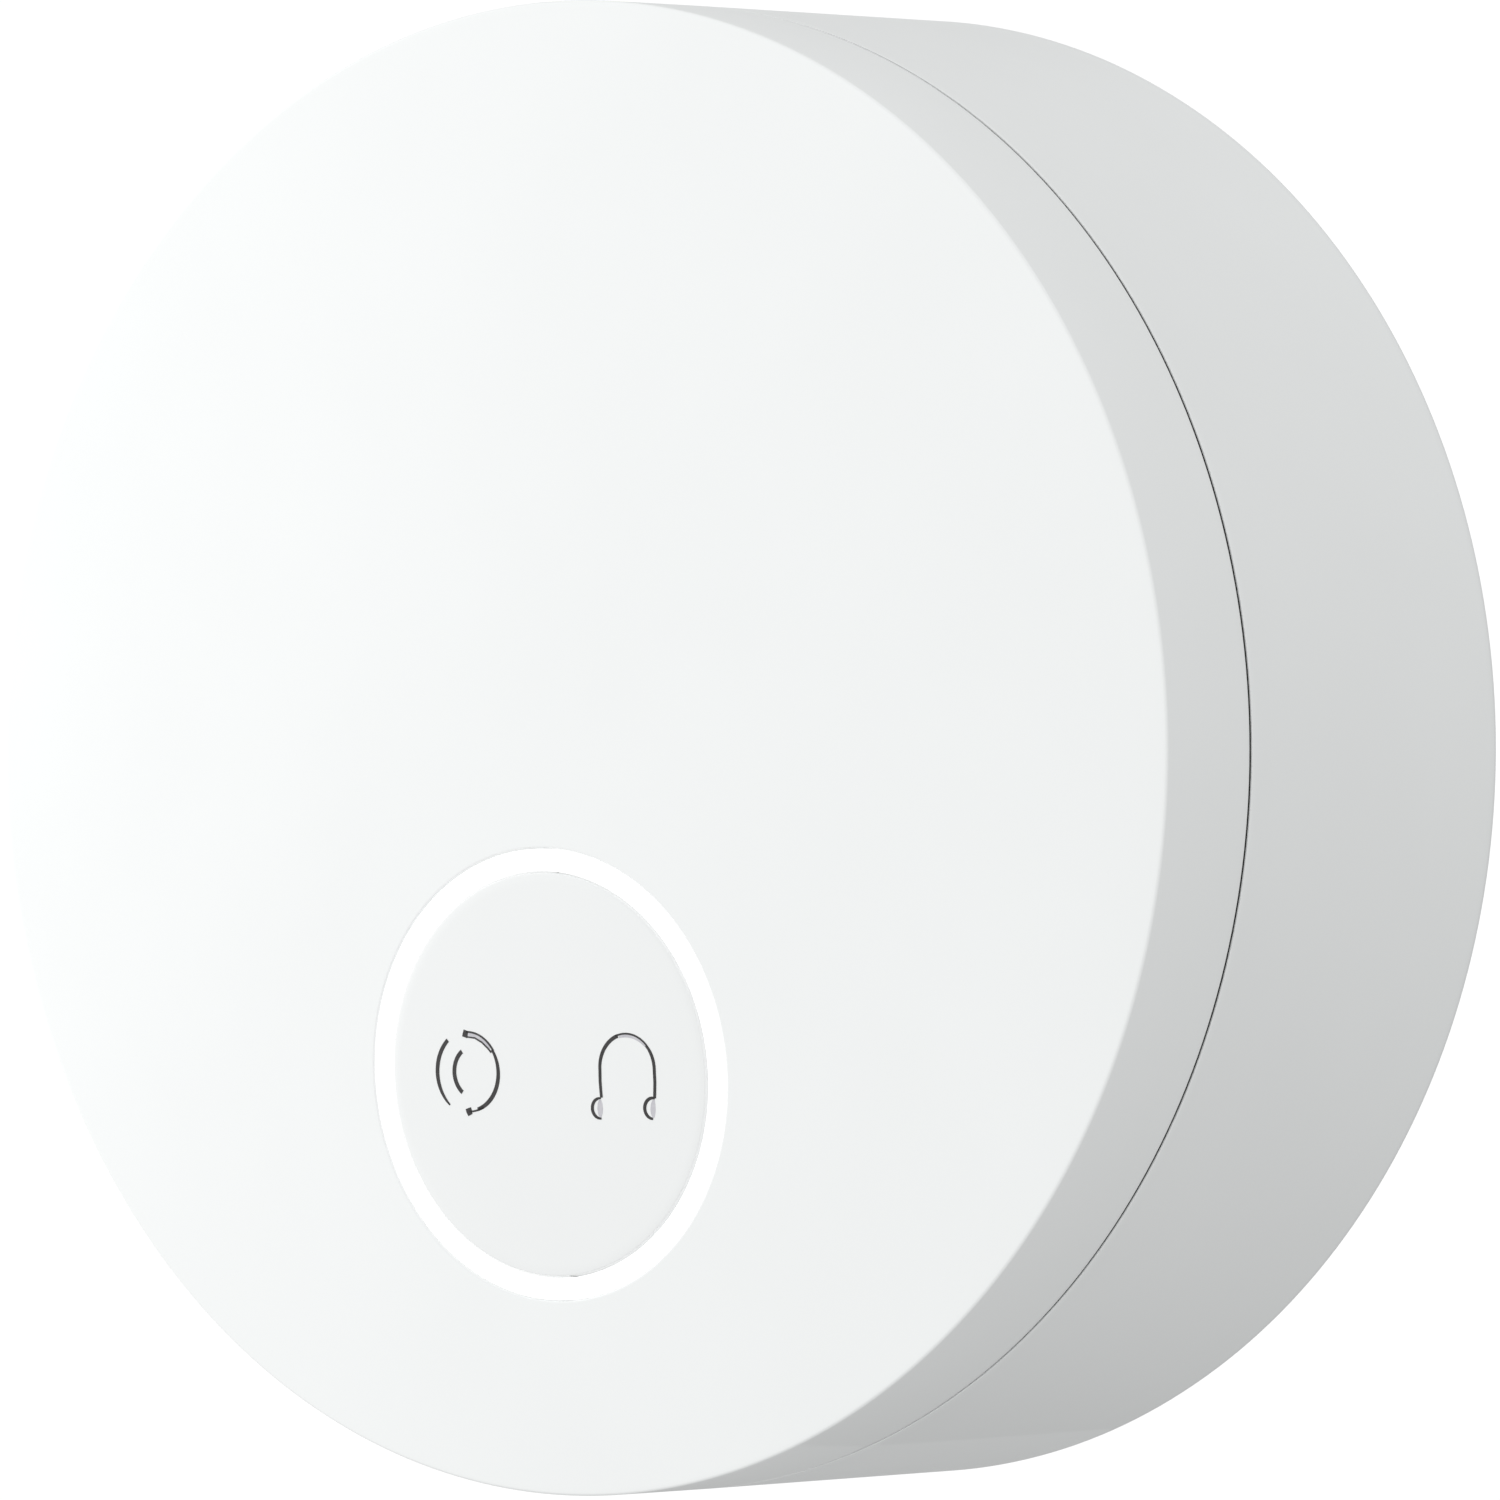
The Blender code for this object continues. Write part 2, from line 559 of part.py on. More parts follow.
def insect_screen(material):
    """A thin band with a row of slits: a skin of faces with every other one missing, then thickened."""
    sides = ROUND
    rows = (CHAMBER_LID + 0.2 * MM, CHAMBER_LID + 1.6 * MM, CHAMBER_FLOOR - 1.2 * MM, CHAMBER_FLOOR - GAP)
    radius = CHAMBER_R - 0.2 * MM
    bm = bmesh.new()
    rings = []
    for row in rows:
        spots = [on_circle(radius, 360 * side / sides) for side in range(sides)]
        rings.append([bm.verts.new((x + CHAMBER_X, -row, z + CHAMBER_Z)) for x, z in spots])
    for level, (lower, upper) in enumerate(zip(rings, rings[1:])):
        for side in range(sides):
            if level != 1 or side % 2:
                after = (side + 1) % sides
                bm.faces.new((lower[side], lower[after], upper[after], upper[side]))
    bmesh.ops.recalc_face_normals(bm, faces=bm.faces)
    bmesh.ops.solidify(bm, geom=bm.faces[:], thickness=0.3 * MM)
    bmesh.ops.recalc_face_normals(bm, faces=bm.faces)
    keep("insect_screen", bm, material)


def sounder(plastic, brass):
    floor = MAIN_BOARD - GAP
    wall_in = SOUNDER_R - 1.1 * MM
    ledge_in = wall_in - 1.3 * MM
    lip = SOUNDER_FRONT + 1.7 * MM
    ledge = lip + 2.3 * MM
    outline = [(0, floor), (SOUNDER_R, floor), (SOUNDER_R, lip), (wall_in, lip), (wall_in, ledge),
               (ledge_in, ledge), (ledge_in, floor - 1.3 * MM), (0, floor - 1.3 * MM)]
    keep("sounder_cup", turn(outline, MEDIUM, SOUNDER_X, SOUNDER_Z), plastic)
    disc = rod(wall_in - GAP, ledge - 0.65 * MM, ledge - GAP, SOUNDER_X, SOUNDER_Z, MEDIUM)
    keep("piezo_disc", disc, brass)
    cap_top = lip - GAP
    outline = [(4 * MM, SOUNDER_FRONT), (SOUNDER_R, SOUNDER_FRONT), (SOUNDER_R, cap_top),
               (wall_in - GAP, cap_top), (wall_in - GAP, cap_top + 1.4 * MM),
               (wall_in - 1.1 * MM, cap_top + 1.4 * MM), (wall_in - 1.1 * MM, cap_top), (4 * MM, cap_top)]
    keep("sounder_cap", turn(outline, MEDIUM, SOUNDER_X, SOUNDER_Z), plastic)


def along_x(outline, x_low, x_high):
    """A flat outline of (z, reach) points, stretched from one x to another."""
    bm = bmesh.new()
    face = bm.faces.new([bm.verts.new((x_low, -reach, z)) for z, reach in outline])
    raised = bmesh.ops.extrude_face_region(bm, geom=[face])["geom"]
    moved = [item for item in raised if isinstance(item, bmesh.types.BMVert)]
    bmesh.ops.translate(bm, verts=moved, vec=(x_high - x_low, 0, 0))
    bmesh.ops.recalc_face_normals(bm, faces=bm.faces)
    return bm


def lithium_cell(sleeve, holder_plastic, nickel):
    nub = CELL_HALF + CELL_NUB
    outline = [(0, -CELL_HALF), (CELL_R - 0.5 * MM, -CELL_HALF), (CELL_R, 0.5 * MM - CELL_HALF),
               (CELL_R, CELL_HALF - 0.5 * MM), (CELL_R - 0.5 * MM, CELL_HALF), (3 * MM, CELL_HALF),
               (3 * MM, nub), (0, nub)]
    cell = turn(outline, 24)
    keep("lithium_cell", aim(cell, (0, -CELL_REACH, CELL_Z), (1, 0, 0)), sleeve)
    inner = CELL_R + 0.2 * MM
    outer = inner + 1.1 * MM
    low = CELL_REACH - 4 * MM
    outside = [(outer + CELL_Z, low), *arc(outer, 0, 180, 13, CELL_Z, CELL_REACH), (CELL_Z - outer, low)]
    inside = [(CELL_Z - inner, low), *arc(inner, 180, 0, 13, CELL_Z, CELL_REACH), (inner + CELL_Z, low)]
    half = nub + 2.4 * MM
    cradle = along_x(outside + inside, -half, half)
    walls = []
    for side in (-1, 1):
        ends = sorted((side * (half - 1.2 * MM), side * (half + 0.2 * MM)))
        walls.append(block(ends, (CELL_Z - outer + 0.3 * MM, CELL_Z + outer - 0.3 * MM),
                           (low + MM, CELL_REACH + 6 * MM)))
    keep("cell_holder", join(cradle, *walls), holder_plastic)
    for side, name in ((1, "plus"), (-1, "minus")):
        near = nub if side > 0 else CELL_HALF
        ends = sorted((side * (near + GAP), side * (near + 0.8 * MM)))
        leaf = block(ends, (CELL_Z - 4 * MM, CELL_Z + 4 * MM), (CELL_REACH - 3.5 * MM, CELL_REACH + 6 * MM))
        keep(f"cell_contact_{name}", leaf, nickel)


def coil_antenna(material):
    turns, per_turn, radius, length = 5, 9, 2.2 * MM, 13.0 * MM
    curve = bpy.data.curves.new("coil_antenna", "CURVE")
    curve.dimensions = "3D"
    curve.bevel_depth = 0.35 * MM
    curve.bevel_resolution = 0
    curve.use_fill_caps = True
    wire = curve.splines.new("POLY")
    count = turns * per_turn + 1
    wire.points.add(count - 1)
    for index, point in enumerate(wire.points):
        share = index / (count - 1)
        angle = math.tau * turns * share
        point.co = (length * (share - 0.5), radius * math.cos(angle), radius * math.sin(angle), 1.0)
    curve.materials.append(material)
    coil = bpy.data.objects.new("coil_antenna", curve)
    coil.location = (-22 * MM, -(MAIN_BOARD + BOARD_T + 3 * MM), 33 * MM)
    bpy.context.collection.objects.link(coil)


def board_parts(chip, can, tin, connector):
    low = MAIN_BOARD + BOARD_T + GAP
    keep("controller_chip", block((-4 * MM, 4 * MM), (11 * MM, 19 * MM), (low, low + 1.2 * MM)), chip)
    keep("radio_module", block((-29 * MM, -15 * MM), (8 * MM, 26 * MM), (low, low + 2.4 * MM)), tin)
    top = low + 8 * MM
    outline = [(0, low), (4 * MM, low), (4 * MM, top - 0.5 * MM), (3.5 * MM, top), (0, top)]
    keep("reservoir_capacitor", turn(outline, 20, 24 * MM, 12 * MM), can)
    link_top = KEY_BOARD - GAP
    keep("board_link", block((-6 * MM, 6 * MM), (-10.5 * MM, -7 * MM), (low, link_top)), connector)
    coil_antenna(tin)


def build():
    for thing in list(bpy.data.objects):
        bpy.data.objects.remove(thing)
    white = paint("case_white", (0.90, 0.91, 0.905), 0.45)
    key_white = paint("key_white", (0.88, 0.89, 0.885), 0.5)
    opal = paint("opal_ring", (0.98, 0.98, 0.98), 0.35)
    clear = paint("clear_acrylic", (0.85, 0.88, 0.88), 0.1)
    black = paint("chamber_black", (0.02, 0.02, 0.022), 0.6)
    grey = paint("base_grey", (0.80, 0.81, 0.805), 0.55)
    board = paint("board_green", (0.03, 0.16, 0.07), 0.4)
    steel = paint("zinc_steel", (0.62, 0.62, 0.64), 0.35, 1.0)
    brass = paint("sounder_brass", (0.78, 0.60, 0.28), 0.3, 1.0)
    sleeve = paint("cell_sleeve", (0.16, 0.20, 0.28), 0.35)
    lens = paint("infrared_lens", (0.20, 0.22, 0.40), 0.15)
    led = paint("led_package", (0.93, 0.92, 0.80), 0.3)
    rubber = paint("gasket_rubber", (0.03, 0.03, 0.03), 0.8)
    mounting_plate(grey)
    bayonet_base(grey)
    body_shell(white)
    seam_gasket(rubber)
    front_cover(white)
    light_ring(opal)
    light_guide(clear)
    two_way_key(key_white)
    key_board(board)
    tact_switches(black, grey)
    ring_leds(led)
    fasteners(steel)
    main_board(board)
    smoke_chamber(black, steel, clear, lens)
    sounder(black, brass)
    lithium_cell(sleeve, black, steel)
    board_parts(black, steel, steel, black)


build()
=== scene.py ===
# %% [markdown]
# # A round smoke alarm on its wall plate
# The real thing is two white injection mouldings: a shallow cap with a barely domed face, and a deep
# cup behind it, with a hairline gap between them. A lit opal ring is let into the lower part of the
# face, and the disc inside it is a rocking key with a printed pictogram on each half. Everything that
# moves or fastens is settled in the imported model, so this script only makes surfaces and light.

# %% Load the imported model
import json
import math

import bmesh
import bpy
from mathutils import Matrix, Vector


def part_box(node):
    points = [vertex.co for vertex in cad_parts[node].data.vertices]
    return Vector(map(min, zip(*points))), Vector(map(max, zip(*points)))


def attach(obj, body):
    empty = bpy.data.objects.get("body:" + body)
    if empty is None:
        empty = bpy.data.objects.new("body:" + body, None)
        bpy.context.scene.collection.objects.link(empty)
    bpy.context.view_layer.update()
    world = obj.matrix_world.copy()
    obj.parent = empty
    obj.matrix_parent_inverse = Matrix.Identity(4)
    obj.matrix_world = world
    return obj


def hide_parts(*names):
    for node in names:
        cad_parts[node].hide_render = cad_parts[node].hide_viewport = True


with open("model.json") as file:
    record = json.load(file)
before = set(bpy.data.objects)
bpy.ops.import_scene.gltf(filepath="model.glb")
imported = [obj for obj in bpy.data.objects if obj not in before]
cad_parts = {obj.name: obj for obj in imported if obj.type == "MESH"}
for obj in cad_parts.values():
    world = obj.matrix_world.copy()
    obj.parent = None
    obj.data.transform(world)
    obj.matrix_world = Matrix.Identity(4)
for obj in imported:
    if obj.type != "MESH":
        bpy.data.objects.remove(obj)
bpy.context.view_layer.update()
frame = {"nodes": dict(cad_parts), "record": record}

MM = 0.001

# %% [markdown]
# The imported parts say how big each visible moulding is. A "reach" is a distance out from the wall,
# which is the plane y = 0, so the face of the alarm has the largest reach. The dome is a very large
# sphere, and every piece in the face (cap, ring, key, print) is laid on that same sphere, which is
# what makes them read as one flush surface.

# %% Measure the parts
CASE_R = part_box("front_cover")[1].x
APEX = -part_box("front_cover")[0].y
SEAM = -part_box("body_shell")[0].y
REAR = -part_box("body_shell")[1].y
KEY_Z = (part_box("light_ring")[0].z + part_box("light_ring")[1].z) / 2
RING_FLANGE_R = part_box("light_ring")[1].x
RING_BACK = -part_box("light_ring")[1].y
KEY_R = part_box("two_way_key")[1].x
POST_TIP = -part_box("two_way_key")[1].y
SEAM_GAP = 0.3 * MM
WALL = 2.0 * MM
DOME_RISE = 2.8 * MM
RING_R = 15.1 * MM
RING_IN_R = 13.6 * MM
DOME_R = (CASE_R ** 2 + DOME_RISE ** 2) / (2 * DOME_RISE)


def dome(distance):
    """Reach of the face at a distance from its middle."""
    return APEX - DOME_R + math.sqrt(DOME_R ** 2 - distance ** 2)


print("case", round(2 * CASE_R / MM, 1), "mm across,", round(APEX / MM, 1), "mm out from the wall")

# %% [markdown]
# ## Surfaces from hoops
# A moulding like this could be turned with the Screw modifier, but the ring sits off-centre in the
# face, and a Boolean there would leave long slivers that catch the light. So each shell is a stack of
# hoops joined by bands of quads. A hoop has its own middle, and on the face the middles slide from
# the ring's to the case's, so the same number of points runs from the small hole out to the rim. The
# points lie exactly on the sphere, and the big face shades without a ripple.

# %% Hoops and skins
def hoop(radius, reach, sides, middle=0.0):
    """A circle of points; reach is a number, or a function of the distance from the face's middle."""
    points = []
    for index in range(sides):
        angle = math.tau * index / sides
        x = radius * math.cos(angle)
        z = middle + radius * math.sin(angle)
        out = reach(math.hypot(x, z)) if callable(reach) else reach
        points.append((x, -out, z))
    return points


def skin(name, hoops, loop=True, sharp=40):
    """Joins hoops into one closed surface: round in a loop, or capped by a point at both ends."""
    bm = bmesh.new()
    rows = [[bm.verts.new(point) for point in row] for row in hoops]
    pairs = list(zip(rows, rows[1:]))
    if loop:
        pairs.append((rows[-1], rows[0]))
    for low, high in pairs:
        for index in range(len(low)):
            after = (index + 1) % len(low)
            bm.faces.new((low[index], low[after], high[after], high[index]))
    if not loop:
        for row in (rows[0], rows[-1]):
            bmesh.ops.pointmerge(bm, verts=row, merge_co=sum((v.co for v in row), Vector()) / len(row))
    bmesh.ops.dissolve_degenerate(bm, edges=bm.edges, dist=1e-7)
    bmesh.ops.recalc_face_normals(bm, faces=bm.faces)
    mesh = bpy.data.meshes.new(name)
    bm.to_mesh(mesh)
    bm.free()
    return finish_mesh(name, mesh, sharp)


def finish_mesh(name, mesh, sharp):
    mesh.shade_smooth()
    mesh.set_sharp_from_angle(angle=math.radians(sharp))
    piece = bpy.data.objects.new(name, mesh)
    bpy.context.collection.objects.link(piece)
    return piece


def quarter(radius, start, end, steps=4):
    """Offsets along part of a small circle, for a moulded edge: (sideways, outward) pairs."""
    angles = [math.radians(start + (end - start) * i / steps) for i in range(steps + 1)]
    return [(radius * math.cos(a), radius * math.sin(a)) for a in angles]


def spots(radius, degrees):
    return [(radius * math.cos(math.radians(a)), radius * math.sin(math.radians(a))) for a in degrees]


print("dome radius", round(DOME_R / MM), "mm")

# %% [markdown]
# Screw towers, posts and pockets are plain turned shapes that meet flat or hidden walls, so a Boolean
# is the right tool for them: it joins or cuts the finished shell and leaves the outside alone.

# %% Join and cut
def bar(radius, low, high, x=0.0, z=0.0, sides=32):
    """A round bar that stands out from the wall, with softened ends."""
    ease = min(0.15 * MM, radius / 4)
    rows = [hoop(1e-6, low, sides), hoop(radius - ease, low, sides), hoop(radius, low + ease, sides),
            hoop(radius, high - ease, sides), hoop(radius - ease, high, sides), hoop(1e-6, high, sides)]
    piece = skin("bar", rows, loop=False)
    piece.data.transform(Matrix.Translation((x, 0, z)))
    return piece


def change(piece, tools, operation, sharp=40, self_cut=False):
    """Joins or cuts a piece with one or more others, which are used up."""
    for tool in tools:
        step = piece.modifiers.new("step", "BOOLEAN")
        step.operation = operation
        step.solver = "EXACT"
        step.use_self = self_cut
        step.object = tool
    depsgraph = bpy.context.evaluated_depsgraph_get()
    mesh = bpy.data.meshes.new_from_object(piece.evaluated_get(depsgraph))
    piece.modifiers.clear()
    piece.data = mesh
    for tool in tools:
        bpy.data.objects.remove(tool)
    mesh.shade_smooth()
    mesh.set_sharp_from_angle(angle=math.radians(sharp))
    return piece


SCREW_ANGLES = (90, 210, 330)
CASE_SCREW_R = 43.2 * MM
BOARD_BOSS_ANGLES = (30, 150, 270)
BOARD_BOSS_PCD_R = 43.0 * MM
print("case screws at", SCREW_ANGLES, "degrees")

# %% [markdown]
# ## The cap
# The cap's section runs from the ring hole across the dome, round a crisp rim of a fifth of a
# millimetre, down the short side wall to the seam, and back inside. Its lip slides into the cup
# behind. Mould makers break every outer edge a little, and those tiny rounds are what draw the thin
# bright line around a white product, so every visible edge here is a real arc, with a plain hoop just
# beside it to keep the flats flat.

# %% Make the cap
SIDES = 288
RIM_ROUND = 0.22 * MM
EDGE_ROUND = 0.1 * MM
SEAM_ROUND = 0.05 * MM
HOLE_R = RING_R + 0.06 * MM
FACE_BANDS = 30
CAP_SEAM = SEAM + SEAM_GAP
LIP_DEPTH = 2.6 * MM
LIP_T = 1.4 * MM
BOSS_FOOT = 22.0 * MM
KEY_BOSS_X = 20.5 * MM


def edge_hoops(radius, start, end, sides, middle, inward=False):
    """Hoops round a moulded edge whose top lies on the dome."""
    turn_in = -1 if inward else 1
    return [hoop(radius + turn_in * across, lambda d, up=up: dome(d) - EDGE_ROUND + up, sides, middle)
            for across, up in quarter(EDGE_ROUND, start, end)]


def rim_arc():
    """Hoops round the cap's rim, tangent to the dome on one side and to the side wall on the other."""
    middle = CASE_R - RIM_ROUND
    out = APEX - DOME_R + math.sqrt((DOME_R - RIM_ROUND) ** 2 - middle ** 2)
    lean = math.degrees(math.asin(middle / (DOME_R - RIM_ROUND)))
    return [(middle + across, out + up) for across, up in quarter(RIM_ROUND, 90 - lean, 0, 6)]


def face_hoops(inner, outer, drop, bands):
    """Hoops from the ring's hole to the rim, with middles that slide from the ring to the case."""
    rows = []
    for step in range(bands + 1):
        share = step / bands
        radius = inner + (outer - inner) * share
        rows.append(hoop(radius, lambda d: dome(d) - drop, SIDES, KEY_Z * (1 - share)))
    return rows


def front_cap():
    rim = rim_arc()
    lip = CASE_R - WALL - SEAM_GAP
    lip_in = lip - LIP_T
    lip_end = CAP_SEAM - LIP_DEPTH
    inner = CASE_R - WALL
    rows = edge_hoops(HOLE_R + EDGE_ROUND, 0, 90, SIDES, KEY_Z, inward=True)
    rows += face_hoops(HOLE_R + 2 * EDGE_ROUND, rim[0][0] - 0.2 * MM, 0.0, FACE_BANDS)
    section = rim + [(CASE_R, CAP_SEAM + 0.5 * MM)]
    section += [(CASE_R - SEAM_ROUND + across, CAP_SEAM + SEAM_ROUND - up)
                for across, up in quarter(SEAM_ROUND, 0, 90)]
    section += [(lip, CAP_SEAM), (lip, lip_end + 0.1 * MM), (lip - 0.1 * MM, lip_end),
                (lip_in, lip_end), (lip_in, CAP_SEAM + WALL), (inner, CAP_SEAM + 2 * WALL)]
    rows += [hoop(radius, reach, SIDES) for radius, reach in section]
    rows += face_hoops(HOLE_R, inner, WALL, 8)[::-1]
    cap = skin("front_cap", rows)
    case_spots = spots(CASE_SCREW_R, SCREW_ANGLES)
    key_spots = [(side * KEY_BOSS_X, KEY_Z) for side in (-1, 1)]
    bosses = [bar(3.0 * MM, BOSS_FOOT, 45.2 * MM, *spot) for spot in case_spots]
    bosses += [bar(2.4 * MM, 36.5 * MM, 46.0 * MM, *spot) for spot in key_spots]
    change(cap, bosses, "UNION")
    bores = [bar(1.5 * MM, BOSS_FOOT - MM, 34 * MM, *spot) for spot in case_spots]
    bores += [bar(1.1 * MM, 35.5 * MM, 41.5 * MM, *spot) for spot in key_spots]
    return change(cap, bores, "DIFFERENCE")


cap = front_cap()
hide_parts("front_cover")
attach(cap, "alarm")
print("cap:", len(cap.data.polygons), "faces")

# %% [markdown]
# ## The cup
# The deep housing is turned from one section. Its wall draws in a tenth of a millimetre towards the
# wall so that it leaves the mould, and its rear corner is a soft 1 mm round. Three pockets in the
# rear face let a screwdriver reach the case screws, which sit at the bottom of hollow towers.

# %% Make the cup
REAR_R = 49.9 * MM
REAR_ROUND = 1.0 * MM
NECK_OPENING_R = 38.4 * MM
TOWER_TOP = 21.7 * MM
BOARD_BOSS_TOP = 28.2 * MM


def rear_cup():
    inner = CASE_R - WALL
    section = [(CASE_R - SEAM_ROUND + across, SEAM - SEAM_ROUND + up)
               for across, up in quarter(SEAM_ROUND, 90, 0)]
    section += [(CASE_R, SEAM - 0.5 * MM), (REAR_R, REAR + REAR_ROUND + 0.4 * MM)]
    section += [(REAR_R - REAR_ROUND + across, REAR + REAR_ROUND - up)
                for across, up in quarter(REAR_ROUND, 0, 90, 8)]
    section += [(REAR_R - REAR_ROUND - 0.4 * MM, REAR), (NECK_OPENING_R + 2 * EDGE_ROUND, REAR),
                (NECK_OPENING_R + EDGE_ROUND, REAR), (NECK_OPENING_R, REAR + EDGE_ROUND),
                (NECK_OPENING_R, REAR + WALL), (inner, REAR + WALL), (inner, SEAM - 0.2 * MM),
                (inner + 0.2 * MM, SEAM)]
    cup = skin("rear_cup", [hoop(radius, reach, SIDES) for radius, reach in section])
    floor = REAR + WALL / 2
    case_spots = spots(CASE_SCREW_R, SCREW_ANGLES)
    board_spots = spots(BOARD_BOSS_PCD_R, BOARD_BOSS_ANGLES)
    towers = [bar(4.2 * MM, floor, TOWER_TOP, *spot) for spot in case_spots]
    bosses = [bar(2.6 * MM, floor, BOARD_BOSS_TOP, *spot) for spot in board_spots]
    change(cup, towers + bosses, "UNION")
    pockets = [bar(3.0 * MM, REAR - MM, TOWER_TOP - 2.2 * MM, *spot, sides=48) for spot in case_spots]
    change(cup, pockets, "DIFFERENCE")
    bores = [bar(1.8 * MM, REAR + MM, TOWER_TOP + MM, *spot) for spot in case_spots]
    bores += [bar(1.1 * MM, BOARD_BOSS_TOP - 8 * MM, BOARD_BOSS_TOP + MM, *spot) for spot in board_spots]
    return change(cup, bores, "DIFFERENCE")


cup = rear_cup()
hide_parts("body_shell")
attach(cup, "alarm")
print("cup:", len(cup.data.polygons), "faces")

# %% [markdown]
# ## The dark seam ring
# A near-black ring sits in the joint as painted shade: it stands in for the shadow in the hairline gap,
# which the white walls alone leave too pale. It ends a tenth of a millimetre short of the outer wall, so
# the seam reads as one fine dark line.
# Its edge is the only part in sight, and it has to be as round as the case beside it, or the line would
# look dotted.

# %% Make the dark seam ring
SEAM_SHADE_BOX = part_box("seam_gasket")
SEAM_SHADE_R = CASE_R - 0.1 * MM
SEAM_SHADE_IN_R = 48.2 * MM


# The ring below is painted shade: a near-black band that darkens the seam gap.
def dark_seam_ring():
    low, high = -SEAM_SHADE_BOX[1].y, -SEAM_SHADE_BOX[0].y
    section = [(SEAM_SHADE_IN_R, low), (SEAM_SHADE_R, low), (SEAM_SHADE_R + 0.02 * MM, (low + high) / 2),
               (SEAM_SHADE_R, high), (SEAM_SHADE_IN_R, high)]
    return skin("painted_seam_shade", [hoop(radius, reach, SIDES) for radius, reach in section])


seam_shade_piece = dark_seam_ring()
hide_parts("seam_gasket")
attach(seam_shade_piece, "alarm")
print("gasket:", round((SEAM_SHADE_BOX[1].y - SEAM_SHADE_BOX[0].y) / MM, 2), "mm thick")

# %% [markdown]
# ## The wall disc
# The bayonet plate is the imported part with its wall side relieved. A moulder takes plastic out of a
# thick disc so that it cools flat, and leaves spokes for stiffness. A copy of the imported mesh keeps
# the studs and the screw slots exactly where they are, and the relief is cut into the copy.

# %% Make the wall disc
RELIEFS = ((8.5 * MM, 16.5 * MM), (28.0 * MM, 38.0 * MM))
RELIEF_DEPTH = 0.8 * MM
SPOKE_COUNT = 12
SPOKE_T = 1.4 * MM
SPOKE_LENGTH = 90 * MM
SPOKE_DEPTH = 20 * MM


def clean_copy(name, node):
    """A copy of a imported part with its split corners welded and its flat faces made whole."""
    bm = bmesh.new()
    bm.from_mesh(frame["nodes"][node].data)
    bmesh.ops.remove_doubles(bm, verts=bm.verts, dist=1e-6)
    bmesh.ops.dissolve_limit(bm, angle_limit=math.radians(0.2), verts=bm.verts, edges=bm.edges)
    mesh = bpy.data.meshes.new(name)
    bm.to_mesh(mesh)
    bm.free()
    return finish_mesh(name, mesh, 30)


def wall_disc():
    disc = clean_copy("wall_disc", "mounting_plate")
    for inner, outer in RELIEFS:
        section = [(inner, -MM), (inner, RELIEF_DEPTH - 0.2 * MM), (inner + 0.2 * MM, RELIEF_DEPTH),
                   (outer - 0.2 * MM, RELIEF_DEPTH), (outer, RELIEF_DEPTH - 0.2 * MM), (outer, -MM)]
        relief = skin("relief", [hoop(radius, reach, 96) for radius, reach in section])
        spokes = bmesh.new()
        for index in range(SPOKE_COUNT // 2):
            turn = Matrix.Rotation(math.pi * (index + 0.5) * 2 / SPOKE_COUNT, 4, "Y")
            size = Matrix.Diagonal((SPOKE_LENGTH, SPOKE_DEPTH, SPOKE_T, 1))
            bmesh.ops.create_cube(spokes, size=1.0, matrix=turn @ size)
        mesh = bpy.data.meshes.new("spokes")
        spokes.to_mesh(mesh)
        spokes.free()
        change(relief, [finish_mesh("spokes", mesh, 30)], "DIFFERENCE", self_cut=True)
        change(disc, [relief], "DIFFERENCE", sharp=30)
    return disc


disc = wall_disc()
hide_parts("mounting_plate")
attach(disc, "wall_plate")
print("wall disc:", len(disc.data.polygons), "faces")

# %% [markdown]
# ## The opal ring
# The ring is a light pipe: a band of milky acrylic, flush with the dome, with a hidden flange that
# holds it from behind. It follows the same sphere as the cap, so it is made from hoops about the
# ring's own middle.

# %% Make the ring
RING_SIDES = 192
FLANGE_T = 0.6 * MM


def opal_ring():
    rows = edge_hoops(RING_R - EDGE_ROUND, 0, 90, RING_SIDES, KEY_Z)
    rows += [hoop(RING_R - 0.75 * MM, dome, RING_SIDES, KEY_Z)]
    rows += edge_hoops(RING_IN_R + EDGE_ROUND, 90, 180, RING_SIDES, KEY_Z)
    step = RING_BACK + FLANGE_T
    section = [(RING_IN_R, step), (RING_R - 0.4 * MM, step), (RING_R - 0.4 * MM, RING_BACK),
               (RING_FLANGE_R, RING_BACK), (RING_FLANGE_R, step), (RING_R, step)]
    rows += [hoop(radius, reach, RING_SIDES, KEY_Z) for radius, reach in section]
    return skin("opal_ring", rows)


ring = opal_ring()
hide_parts("light_ring")
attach(ring, "alarm")
print("ring:", round(2 * RING_R / MM, 1), "mm across")

# %% [markdown]
# ## The rocking key
# The key is a thin disc with a short skirt, two posts that press the switches and two pins that it
# rocks on, top and bottom. Its face lies on the same sphere. A rounded edge and a fifth of a
# millimetre of air around it are all that separate it from the ring. The skirt ends in a small foot
# that closes the slot from below: it sits level with the pins, so it hardly moves when the key rocks.
# The disc is a hair taller than it is wide, because it needs room to swing sideways but not up.

# %% Make the key
KEY_BACK = 45.2 * MM
KEY_SKIRT = 44.0 * MM
PIVOT_REACH = 43.0 * MM
SWITCH_X = 7.0 * MM
KEY_TALLER = 1.006
KEY_SKIRT_T = MM
FOOT_R = RING_IN_R - 0.12 * MM
POST_R = 1.6 * MM
PIN_R = 0.6 * MM
PIN_LENGTH = 2.2 * MM
PIN_ROOT = 12.5 * MM
EAR_REACH = 43.35 * MM
EAR_OFFSET = 12.6 * MM
EAR_SIZE = (2.4 * MM, 2.5 * MM, 1.2 * MM)
FACE_SHARES = (1e-4, 0.1, 0.25, 0.4, 0.55, 0.7, 0.85, 0.95)


